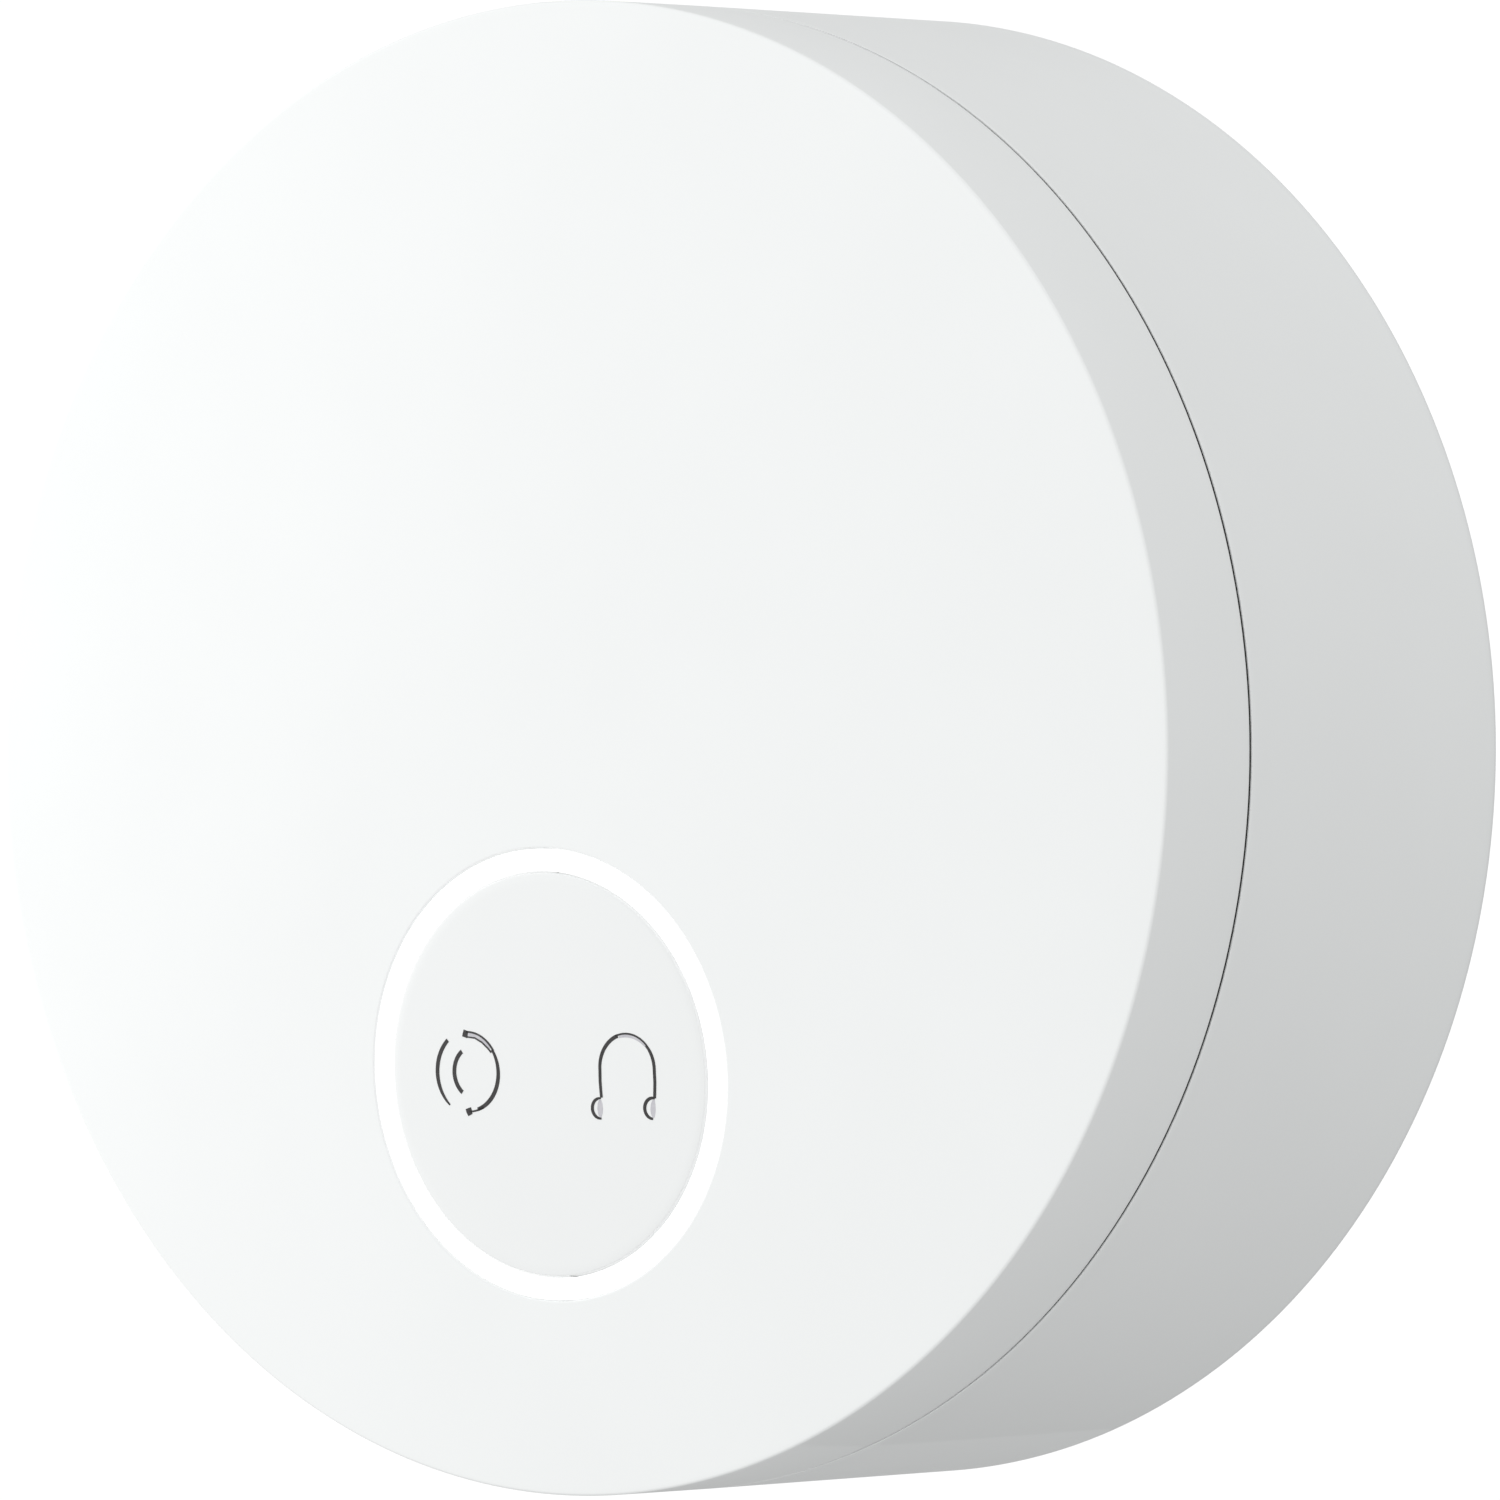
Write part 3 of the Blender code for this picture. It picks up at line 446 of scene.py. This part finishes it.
def key_disc():
    rows = [hoop(KEY_R * share, dome, RING_SIDES, KEY_Z) for share in FACE_SHARES]
    rows += edge_hoops(KEY_R - EDGE_ROUND, 90, 0, RING_SIDES, KEY_Z)
    skirt_in = KEY_R - KEY_SKIRT_T
    section = [(KEY_R, KEY_SKIRT + 0.5 * MM), (FOOT_R, KEY_SKIRT + 0.3 * MM), (FOOT_R, KEY_SKIRT),
               (skirt_in, KEY_SKIRT), (skirt_in, KEY_BACK), (KEY_R * 1e-4, KEY_BACK)]
    rows += [hoop(radius, reach, RING_SIDES, KEY_Z) for radius, reach in section]
    key = skin("key_disc", rows, loop=False)
    recentre = Matrix.Translation((0, 0, KEY_Z * (1 - KEY_TALLER)))
    key.data.transform(recentre @ Matrix.Diagonal((1, 1, KEY_TALLER, 1)))
    posts = [bar(POST_R, POST_TIP, KEY_BACK + 0.8 * MM, side * SWITCH_X, KEY_Z) for side in (-1, 1)]
    change(key, posts, "UNION")
    for side in (-1, 1):
        ear = bmesh.new()
        place = Matrix.Translation((0, -EAR_REACH, KEY_Z + side * EAR_OFFSET))
        bmesh.ops.create_cube(ear, size=1.0, matrix=place @ Matrix.Diagonal((*EAR_SIZE, 1)))
        bmesh.ops.bevel(ear, geom=ear.edges[:], offset=0.1 * MM, segments=2, affect="EDGES")
        mesh = bpy.data.meshes.new("ear")
        ear.to_mesh(mesh)
        ear.free()
        pin = bar(PIN_R, 0.0, PIN_LENGTH)
        turn = Matrix.Rotation(math.radians(90 * side), 4, "X")
        root = Matrix.Translation((0, -PIVOT_REACH, KEY_Z + side * PIN_ROOT))
        pin.data.transform(root @ turn.inverted())
        change(key, [finish_mesh("ear", mesh, 30)], "UNION")
        change(key, [pin], "UNION")
    return key


key = key_disc()
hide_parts("two_way_key")
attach(key, "key")
print("key:", round(2 * KEY_R / MM, 1), "mm across, pins at reach", PIVOT_REACH / MM)

# %% [markdown]
# ## The printed pictograms
# Pad-printed ink is a film of about a hundredth of a millimetre. It is twice as thick here, so that it
# stands clear of the key. A painted mask could draw it, but a film of its own keeps its edge sharp at
# any distance and goes with the key when the key rocks. Each stroke is a thin strip that swells and
# tapers along its line, laid on the dome. The left sign is a loudspeaker with two sound waves, and the
# right one a pair of joined notes.

# %% Lay ink on the key
INK_T = 0.02 * MM


def bow(radius, start, end, x, z, steps=24):
    """Points in millimetres along an arc, from one angle to another."""
    angles = [math.radians(start + (end - start) * i / steps) for i in range(steps + 1)]
    return [(x + radius * math.cos(a), z + radius * math.sin(a)) for a in angles]


def ink(name, line, width, ends=(0.5, 0.5), film=1.0):
    """A strip of ink along a line of (x, z) in millimetres from the key's middle."""
    bm = bmesh.new()
    rows = []
    for index, point in enumerate(line):
        before = Vector(line[max(index - 1, 0)])
        after = Vector(line[min(index + 1, len(line) - 1)])
        across = (after - before).normalized().orthogonal()
        share = index / (len(line) - 1)
        narrow = (1 - share) ** 3 + share ** 3
        half = width / 2 * (1 - narrow + ends[0] * (1 - share) ** 3 + ends[1] * share ** 3)
        row = []
        for side, lift in ((-1, -INK_T), (-0.85, film * INK_T), (0.85, film * INK_T), (1, -INK_T)):
            x, z = (Vector(point) + across * side * half) * MM
            z += KEY_Z
            row.append(bm.verts.new((x, -dome(math.hypot(x, z)) - lift, z)))
        rows.append(row)
    for low, high in zip(rows, rows[1:]):
        for index in range(4):
            after = (index + 1) % 4
            bm.faces.new((low[index], low[after], high[after], high[index]))
    bm.faces.new(rows[0])
    bm.faces.new(rows[-1])
    bmesh.ops.recalc_face_normals(bm, faces=bm.faces)
    mesh = bpy.data.meshes.new(name)
    bm.to_mesh(mesh)
    bm.free()
    piece = finish_mesh(name, mesh, 30)
    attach(piece, "key")
    return piece


STROKE = 0.3
THIN = 0.14
UNDER = 0.5
strokes = [
    ink("wave_outer", bow(2.86, 131, 230, -6.62, 0.02), 0.4, (0.8, 0.35)),
    ink("wave_inner", bow(1.72, 126, 232, -6.27, 0.05), 0.38, (0.9, 0.9)),
    ink("cone_edge", bow(2.66, 92, 32, -6.77, 0.1), THIN, (1.0, 1.3)),
    ink("cone_edge_inner", [(-6.75, 2.42), (-6.1, 2.36), (-5.5, 2.08), (-4.95, 1.66), (-4.7, 1.4)],
        THIN, (0.8, 1.0)),
    ink("cone_side", bow(2.6, 36, -74, -6.75, 0.08, 32), 0.4, (0.5, 0.7)),
    ink("cone_edge_low", bow(2.66, -62, -90, -6.77, 0.08, 12), THIN, (1.2, 1.0)),
    ink("cone_foot_top", [(-6.99, 2.4), (-6.93, 2.62), (-6.86, 2.86)], 0.52, (1.0, 0.9)),
    ink("cone_foot_bottom", [(-6.87, -2.36), (-6.8, -2.58), (-6.7, -2.82)], 0.56, (1.0, 0.8)),
    ink("note_left_stem", [(4.66, -1.45), (4.62, -0.9), (4.59, -0.35), *bow(2.3, 176, 108, 6.9, 0.5, 20)],
        0.32, (0.8, 0.9)),
    ink("note_beam_edge", bow(2.36, 112, 40, 6.86, 0.48, 20), THIN, (1.0, 1.0)),
    ink("note_right_stem", [*bow(2.28, 44, 2, 6.9, 0.5, 14), (9.2, -0.4), (9.14, -1.42)],
        STROKE, (0.6, 0.9)),
    ink("note_left_head", bow(0.68, 84, 276, 4.54, -2.17, 16), 0.34, (0.4, 0.4)),
    ink("note_right_head", bow(0.7, 76, 268, 8.98, -2.1, 16), 0.34, (0.5, 0.5)),
]
pale_fills = [
    ink("cone_fill_top", [(-6.85, 2.58), (-5.95, 2.45), (-5.35, 2.15), (-4.8, 1.7)],
        0.38, (1.0, 0.3), UNDER),
    ink("note_beam_fill", bow(2.2, 106, 38, 6.9, 0.5, 20), 0.3, (0.6, 0.4), UNDER),
    ink("note_left_fill", [(4.52, -2.76), (4.52, -2.5), (4.52, -2.2), (4.52, -1.85), (4.54, -1.6)], 0.66,
        (0.3, 0.3), UNDER),
    ink("note_right_fill", [(8.98, -2.72), (8.97, -2.45), (8.97, -2.15), (9.0, -1.8), (9.06, -1.5)], 0.6,
        (0.3, 0.3), UNDER),
]
print(len(strokes), "ink strokes and", len(pale_fills), "pale fills")

# %% [markdown]
# ## Shader arithmetic
# Every finish below is worked out from nodes. A Wire holds one output of a node, and adding or
# multiplying Wires makes the Math node that does it, so a recipe reads like a formula. Colours and
# vectors can't go through a Math node, which would turn them grey, so they use Mix and Vector Math.

# %% Wires and finishes
class Wire:
    """One output socket that does arithmetic with numbers and with other Wires."""

    def __init__(self, finish, socket):
        self.finish = finish
        self.socket = socket

    def math(self, operation, *values, clamp=False):
        if self.socket.type == "VECTOR":
            return self.finish.node("ShaderNodeVectorMath", {"operation": operation}, *values)
        return self.finish.node("ShaderNodeMath", {"operation": operation, "use_clamp": clamp}, *values)

    def __add__(self, other):
        return self.math("ADD", self, other)

    def __sub__(self, other):
        return self.math("SUBTRACT", self, other)

    def __mul__(self, other):
        return self.math("MULTIPLY", self, other)

    def __rsub__(self, other):
        return self.math("SUBTRACT", other, self)

    __radd__ = __add__
    __rmul__ = __mul__

    def over(self, edge, soft):
        """A mask: 0 below the edge, 1 above it, with a soft step between."""
        return self.math("MULTIPLY", self - (edge - soft / 2), 1 / soft, clamp=True)


class Finish:
    """A node material, or the world's own nodes, built one node at a time."""

    def __init__(self, owner):
        owner.use_nodes = True
        self.owner = owner
        self.tree = owner.node_tree
        self.tree.nodes.clear()

    def node(self, kind, settings=None, *values, output=0, **named):
        made = self.tree.nodes.new(kind)
        for key, value in (settings or {}).items():
            if key == "stops":
                set_stops(made.color_ramp, value)
            else:
                setattr(made, key, value)
        for place, value in [*enumerate(values), *named.items()]:
            socket = made.inputs[place if isinstance(place, int) else place.replace("_", " ")]
            if isinstance(value, Wire):
                self.tree.links.new(value.socket, socket)
            elif value is not None:
                socket.default_value = value
        return Wire(self, made.outputs[output]) if made.outputs else made

    def place(self):
        """Where a point is on the object, in millimetres."""
        spot = self.node("ShaderNodeTexCoord", output="Object")
        return spot.math("SCALE", spot, None, None, 1000.0)

    def noise(self, place, size, detail=2.0, rough=0.5):
        """Soft random grain; size is the length of one blotch in millimetres."""
        return self.node("ShaderNodeTexNoise", {}, Vector=place, Scale=1 / size, Detail=detail,
                         Roughness=rough)

    def blend(self, share, first, second):
        """Mixes two colours."""
        mix = {"data_type": "RGBA"}
        return self.node("ShaderNodeMix", mix, share, None, None, None, None, None, first, second, output=2)

    def bump(self, height, depth):
        """Turns a height in millimetres into a normal."""
        return self.node("ShaderNodeBump", {}, Strength=1.0, Distance=depth * MM, Height=height)


def set_stops(ramp, stops):
    while len(ramp.elements) < len(stops):
        ramp.elements.new(0.5)
    for element, (position, colour) in zip(ramp.elements, stops):
        element.position = position
        element.color = colour


def new_finish(name):
    return Finish(bpy.data.materials.new(name))


def surface(finish, **sockets):
    """Ends a material with a Principled shader."""
    shader = finish.node("ShaderNodeBsdfPrincipled", {}, **sockets)
    finish.node("ShaderNodeOutputMaterial", {}, shader)
    return finish.owner


def grey(value, cool=0.0):
    """A near-white paint colour; cool takes a little out of the red."""
    return (value * (1 - cool), value, value * (1 - cool * 0.15), 1)


print("paint white", grey(1.0, 0.012))

# %% [markdown]
# ## White mouldings
# A satin white case is spark-eroded in the mould: a leather-fine grain that softens highlights but
# can't be seen as bumps from a step away. The pigment is very even, so the colour moves by under one
# per cent, while the sheen wanders a little more where the plastic cooled at different speeds. The
# grain is a bump of a few microns from two sizes of noise. The inside and the wall-side pieces come
# from a coarser mould with a duller, slightly yellower white.

# %% Mix the white plastics
def moulded(name, white, shade, grain, depth, rough, sheen_spread=0.05):
    """Moulded plastic: fine bump, wandering sheen and a hint of cloud in the pigment."""
    finish = new_finish(name)
    place = finish.place()
    cloud = finish.noise(place, 14.0, 3.0)
    fine = finish.noise(place, grain, 2.0, 0.6)
    pits = finish.node("ShaderNodeTexVoronoi", {"feature": "SMOOTH_F1"}, Vector=place, Scale=0.6 / grain)
    height = fine * 0.7 + pits * 0.3
    return surface(
        finish,
        Base_Color=finish.blend(cloud.over(0.5, 0.5), white, shade),
        Roughness=rough + (cloud - 0.5) * sheen_spread + (fine - 0.5) * 0.04,
        Normal=finish.bump(height, depth),
        IOR=1.46,
    )


case_white = moulded("case_white", grey(0.905, 0.012), grey(0.89, 0.012), 0.22, 0.0016, 0.42)
key_white = moulded("key_white", grey(0.88, 0.01), grey(0.868, 0.01), 0.18, 0.0012, 0.38)
base_white = moulded("base_white", (0.83, 0.825, 0.805, 1), (0.81, 0.805, 0.78, 1), 0.5, 0.006, 0.55)
black_plastic = moulded("black_plastic", grey(0.018), grey(0.03), 0.35, 0.005, 0.5)
# The next finish is near-black painted shade for the ring in the seam joint.
seam_shade_black = moulded("seam_shade_black", grey(0.006), grey(0.012), 0.4, 0.02, 0.85)
plunger_grey = moulded("plunger_grey", grey(0.72), grey(0.68), 0.15, 0.002, 0.35)
print("white case, white key, wall-side white, black and pale grey plastics, and a foam rubber")

# %% [markdown]
# ## Opal light ring
# Opal acrylic scatters the light of four small lamps behind it. The glow is close to even, a touch
# stronger where a lamp sits behind the ring. The angle around the ring's own middle gives four soft
# swells; a plain emission on top of a glossy white body is enough, and survives the export.

# %% Light the ring
LAMP_COUNT = 4
GLOW = 0.35


def lit_opal():
    finish = new_finish("opal")
    place = finish.place()
    from_key = place - (0.0, 0.0, KEY_Z / MM)
    across = finish.node("ShaderNodeSeparateXYZ", {}, from_key)
    up = Wire(finish, across.socket.node.outputs[2])
    around = across.math("ARCTAN2", up, across)
    phase = around * LAMP_COUNT + math.pi
    swell = phase.math("COSINE", phase)
    cloud = finish.noise(place, 2.5, 2.0)
    glow = swell * 0.02 + cloud * 0.04 + 0.95
    return surface(
        finish,
        Base_Color=finish.blend(cloud, grey(0.93), grey(0.9)),
        Roughness=0.28 + cloud * 0.06,
        Emission_Color=finish.blend(glow, grey(0.0), grey(1.0)),
        Emission_Strength=GLOW,
        Coat_Weight=cloud * 0.1 + 0.15,
        Coat_Roughness=0.2,
        Normal=finish.bump(finish.noise(place, 0.5, 1.0), 0.0006),
    )


opal = lit_opal()
print("ring glows at", GLOW)

# %% [markdown]
# ## Ink
# Printing ink on a rubber pad is a soft black that turns warm grey where the film is thin. The cover
# is never quite even, so the tone and the sheen follow a fine noise. The filled note heads are
# printed in a paler screen of the same ink.

# %% Mix the inks
def printed(name, dark, thin):
    finish = new_finish(name)
    place = finish.place()
    patch = finish.noise(place, 0.4, 3.0)
    return surface(
        finish,
        Base_Color=finish.blend(patch.over(0.5, 0.4), dark, thin),
        Roughness=0.4 + patch * 0.2,
        Normal=finish.bump(patch, 0.002),
    )


ink_dark = printed("ink_dark", (0.012, 0.0105, 0.011, 1), (0.026, 0.023, 0.024, 1))
ink_pale = printed("ink_pale", (0.5, 0.49, 0.53, 1), (0.6, 0.59, 0.62, 1))
print("two inks")

# %% [markdown]
# ## Inside: boards, metals, lenses and the cell
# These parts sit in the dark, yet each keeps a finish of its own for when the case is opened. Solder
# mask is green over a grid of copper runs, which show as slightly raised, lighter bands. Zinc plate
# and tin have fine drawn lines, made by stretching a noise along one axis.

# %% Mix the board
def solder_mask():
    finish = new_finish("solder_mask")
    place = finish.place()
    squares = {"feature": "F1", "distance": "CHEBYCHEV"}
    runs = finish.node("ShaderNodeTexVoronoi", squares, Vector=place, Scale=0.35)
    track = runs.math("FRACT", runs * 2.5).over(0.7, 0.08)
    cloud = finish.noise(place, 4.0)
    return surface(
        finish,
        Base_Color=finish.blend(track, (0.012, 0.085, 0.03, 1), (0.03, 0.2, 0.07, 1)),
        Roughness=0.3 + cloud * 0.1,
        Normal=finish.bump(track, 0.03),
        Coat_Weight=0.3 + cloud * 0.2,
        Coat_Roughness=0.15,
    )


board_green = solder_mask()
print("solder mask")

# %% [markdown]
# Plated steel, tin and brass differ only in their colour and in how deep and long the drawn lines
# are, so one recipe makes all three.

# %% Mix the metals
def drawn_metal(name, light, dull, rough, stretch):
    finish = new_finish(name)
    place = finish.place()
    long_way = place.math("MULTIPLY", place, stretch)
    lines = finish.noise(long_way, 0.25, 4.0, 0.6)
    patch = finish.noise(place, 3.0, 3.0)
    return surface(
        finish,
        Base_Color=finish.blend(patch.over(0.52, 0.3), light, dull),
        Metallic=0.97 + patch * 0.03,
        Roughness=rough + (lines - 0.5) * 0.2 + patch * 0.08,
        Normal=finish.bump(lines, 0.004),
    )


steel = drawn_metal("zinc_plate", (0.62, 0.63, 0.66, 1), (0.5, 0.51, 0.53, 1), 0.28, (1.0, 0.15, 1.0))
tin = drawn_metal("tin_plate", (0.76, 0.76, 0.78, 1), (0.66, 0.66, 0.68, 1), 0.2, (0.15, 1.0, 1.0))
brass = drawn_metal("bright_brass", (0.8, 0.6, 0.26, 1), (0.66, 0.46, 0.18, 1), 0.24, (1.0, 1.0, 0.2))
print("three metals")

# %% [markdown]
# The lenses and light pipe are cast clear or tinted, with faint flow lines. The lamps have a pale
# yellow phosphor under a glossy skin, and the cell wears a plain shrink sleeve.

# %% Mix lens, lamp and sleeve
def cast_clear(name, tint, dark, clear):
    finish = new_finish(name)
    place = finish.place()
    flow = finish.noise(place.math("MULTIPLY", place, (1.0, 0.3, 1.0)), 1.5, 3.0)
    return surface(
        finish,
        Base_Color=finish.blend(flow, tint, dark),
        Roughness=0.05 + flow * 0.06,
        Transmission_Weight=clear,
        IOR=1.49,
        Normal=finish.bump(flow, 0.003),
    )


def glossy_cap(name, light, dark, size, rough):
    finish = new_finish(name)
    place = finish.place()
    mottle = finish.noise(place, size, 2.0)
    return surface(
        finish,
        Base_Color=finish.blend(mottle.over(0.5, 0.25), light, dark),
        Roughness=rough + mottle * 0.1,
        Coat_Weight=0.2 + mottle * 0.2,
        Normal=finish.bump(mottle, 0.004),
    )


clear_acrylic = cast_clear("clear_acrylic", (0.9, 0.93, 0.93, 1), (0.85, 0.9, 0.9, 1), 0.9)
dark_lens = cast_clear("dark_lens", (0.05, 0.06, 0.16, 1), (0.02, 0.025, 0.08, 1), 0.4)
phosphor = glossy_cap("phosphor", (0.9, 0.86, 0.55, 1), (0.85, 0.78, 0.42, 1), 0.3, 0.25)
sleeve = glossy_cap("cell_sleeve", (0.05, 0.08, 0.14, 1), (0.04, 0.06, 0.11, 1), 6.0, 0.3)
print("clear and tinted lenses, phosphor, sleeve")

# %% [markdown]
# ## Dressing the parts
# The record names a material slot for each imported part. New pieces are dressed one by one, and every
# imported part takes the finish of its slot. The finish goes on the object rather than on its mesh, so
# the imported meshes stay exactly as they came.

# %% Dress every part
FINISHES = {
    "case_plastic": case_white, "key_plastic": key_white, "opal_ring": opal, "base_plastic": base_white,
    "clear_acrylic": clear_acrylic, "infrared_lens": dark_lens, "led_package": phosphor,
    "black_plastic": black_plastic, "switch_plunger": plunger_grey, "circuit_board": board_green,
    "steel": steel, "tinned_can": tin, "brass": brass, "cell_sleeve": sleeve, "gasket_rubber": seam_shade_black,
}


def dress(piece, finish):
    if not piece.material_slots:
        piece.data.materials.append(finish)
    for slot in piece.material_slots:
        slot.link = "OBJECT"
        slot.material = finish


for part in frame["record"]["subparts"]:
    dress(frame["nodes"][part["node"]], FINISHES[part["material_slot"]])
for piece, finish in ((cap, case_white), (cup, case_white), (seam_shade_piece, seam_shade_black), (disc, base_white),
                      (ring, opal), (key, key_white)):
    dress(piece, finish)
for piece in strokes:
    dress(piece, ink_dark)
for piece in pale_fills:
    dress(piece, ink_pale)
print(len(frame["nodes"]), "packed parts dressed from", len(FINISHES), "finishes")

# %% [markdown]
# ## Studio
# A white product on white needs light from all round, a little stronger from the front and above, or
# its sides turn grey and its edge is lost. The world does that job: its nodes read the direction of
# a ray and brighten smoothly towards the front, the top and the right. One large soft panel at the
# left, nearly level with the alarm, models the dome. Where nothing stands in front of it, the backdrop
# shows as plain paper white and not as this gradient.

# %% Set the light
WORLD_BASE = 0.74
WORLD_SLOPE = (0.065, -0.3, 0.155)
PANEL_POWER = 11.0
PANEL_FROM = Vector((-0.95, -0.3, 0.1))
PANEL_SIZE = 1.2
PANEL_AWAY = 1.6
PANEL_AIM = Vector((0, -0.03, 0))
BACKDROP = 1.05


def studio_world():
    world = bpy.data.worlds.new("studio")
    bpy.context.scene.world = world
    nodes = Finish(world)
    direction = nodes.node("ShaderNodeTexCoord", output="Generated")
    dot = {"operation": "DOT_PRODUCT"}
    slope = nodes.node("ShaderNodeVectorMath", dot, direction, WORLD_SLOPE, output="Value")
    lit = nodes.node("ShaderNodeBackground", {}, Color=grey(1.0, 0.008), Strength=slope + WORLD_BASE)
    paper = nodes.node("ShaderNodeBackground", {}, Color=(1, 1, 1, 1), Strength=BACKDROP)
    seen = nodes.node("ShaderNodeLightPath", output="Is Camera Ray")
    nodes.node("ShaderNodeOutputWorld", {}, nodes.node("ShaderNodeMixShader", {}, seen, lit, paper))


def soft_panel():
    lamp = bpy.data.lights.new("panel_left", "AREA")
    lamp.shape = "DISK"
    lamp.size = PANEL_SIZE
    lamp.energy = PANEL_POWER
    panel = bpy.data.objects.new("panel_left", lamp)
    bpy.context.collection.objects.link(panel)
    panel.location = PANEL_AIM + PANEL_FROM.normalized() * PANEL_AWAY
    panel.rotation_euler = PANEL_FROM.to_track_quat("Z", "Y").to_euler()


studio_world()
soft_panel()
print("world", WORLD_BASE, "and a panel of", PANEL_POWER, "W")

# %% [markdown]
# The floor is a plain pale disc, well below the alarm, because the real thing hangs on a wall, and it
# fades into the backdrop like a paper sweep. It is seen but throws no light back: a white floor would
# fill in the shade under the case, which is what tells the eye that the side is round.

# %% Lay the floor
FLOOR_Z = -0.25
FLOOR_R = 3.6
FADE_FROM = 0.5
FADE_OVER = 1.5


def floor_sheet():
    mesh = bpy.data.meshes.new("floor")
    bm = bmesh.new()
    place = Matrix.Translation((0, 0, FLOOR_Z))
    bmesh.ops.create_circle(bm, cap_ends=True, segments=96, radius=FLOOR_R, matrix=place)
    bm.to_mesh(mesh)
    bm.free()
    sheet = bpy.data.objects.new("floor", mesh)
    bpy.context.collection.objects.link(sheet)
    finish = new_finish("pale_floor")
    place = finish.place()
    cloud = finish.noise(place, 60.0)
    out = finish.node("ShaderNodeVectorMath", {"operation": "LENGTH"}, place, output="Value")
    shown = 1 - out.over((FADE_FROM + FADE_OVER / 2) / MM, FADE_OVER / MM)
    pale = finish.blend(cloud, grey(0.86), grey(0.84))
    dress(sheet, surface(finish, Base_Color=pale, Roughness=0.6 + cloud * 0.1, Alpha=shown))
    sheet.visible_diffuse = False
    sheet.visible_glossy = False


floor_sheet()
print("floor at", FLOOR_Z, "m")

# %% [markdown]
# ## Camera
# A long lens from about a metre away keeps the circles nearly true. The camera stands 39 degrees round
# to the right, level with the middle of the alarm, so that both the face and the deep side show.

# %% Place the camera
AZIMUTH = math.radians(38.99)
ELEVATION = math.radians(0.256)
AWAY = 1.0
AIM_RIGHT = 0.0122
AIM_UP = -0.00013
LENS_MM = 358.85
SENSOR_MM = 36.0
RIM_REACH = 45.5 * MM

front = Vector((0, -RIM_REACH, 0))
level = math.cos(ELEVATION)
back = Vector((math.sin(AZIMUTH) * level, -math.cos(AZIMUTH) * level, math.sin(ELEVATION)))
right = Vector((math.cos(AZIMUTH), math.sin(AZIMUTH), 0))
eye = front + back * AWAY
target = front + right * AIM_RIGHT + back.cross(right) * AIM_UP
lens = bpy.data.cameras.new("camera")
lens.lens = LENS_MM
lens.sensor_width = SENSOR_MM
lens.clip_start = 0.01
camera = bpy.data.objects.new("camera", lens)
bpy.context.collection.objects.link(camera)
camera.location = eye
camera.rotation_euler = (eye - target).to_track_quat("Z", "Y").to_euler()
bpy.context.scene.camera = camera
bpy.context.scene.view_settings.view_transform = "Standard"
print("camera", [round(value, 4) for value in eye])
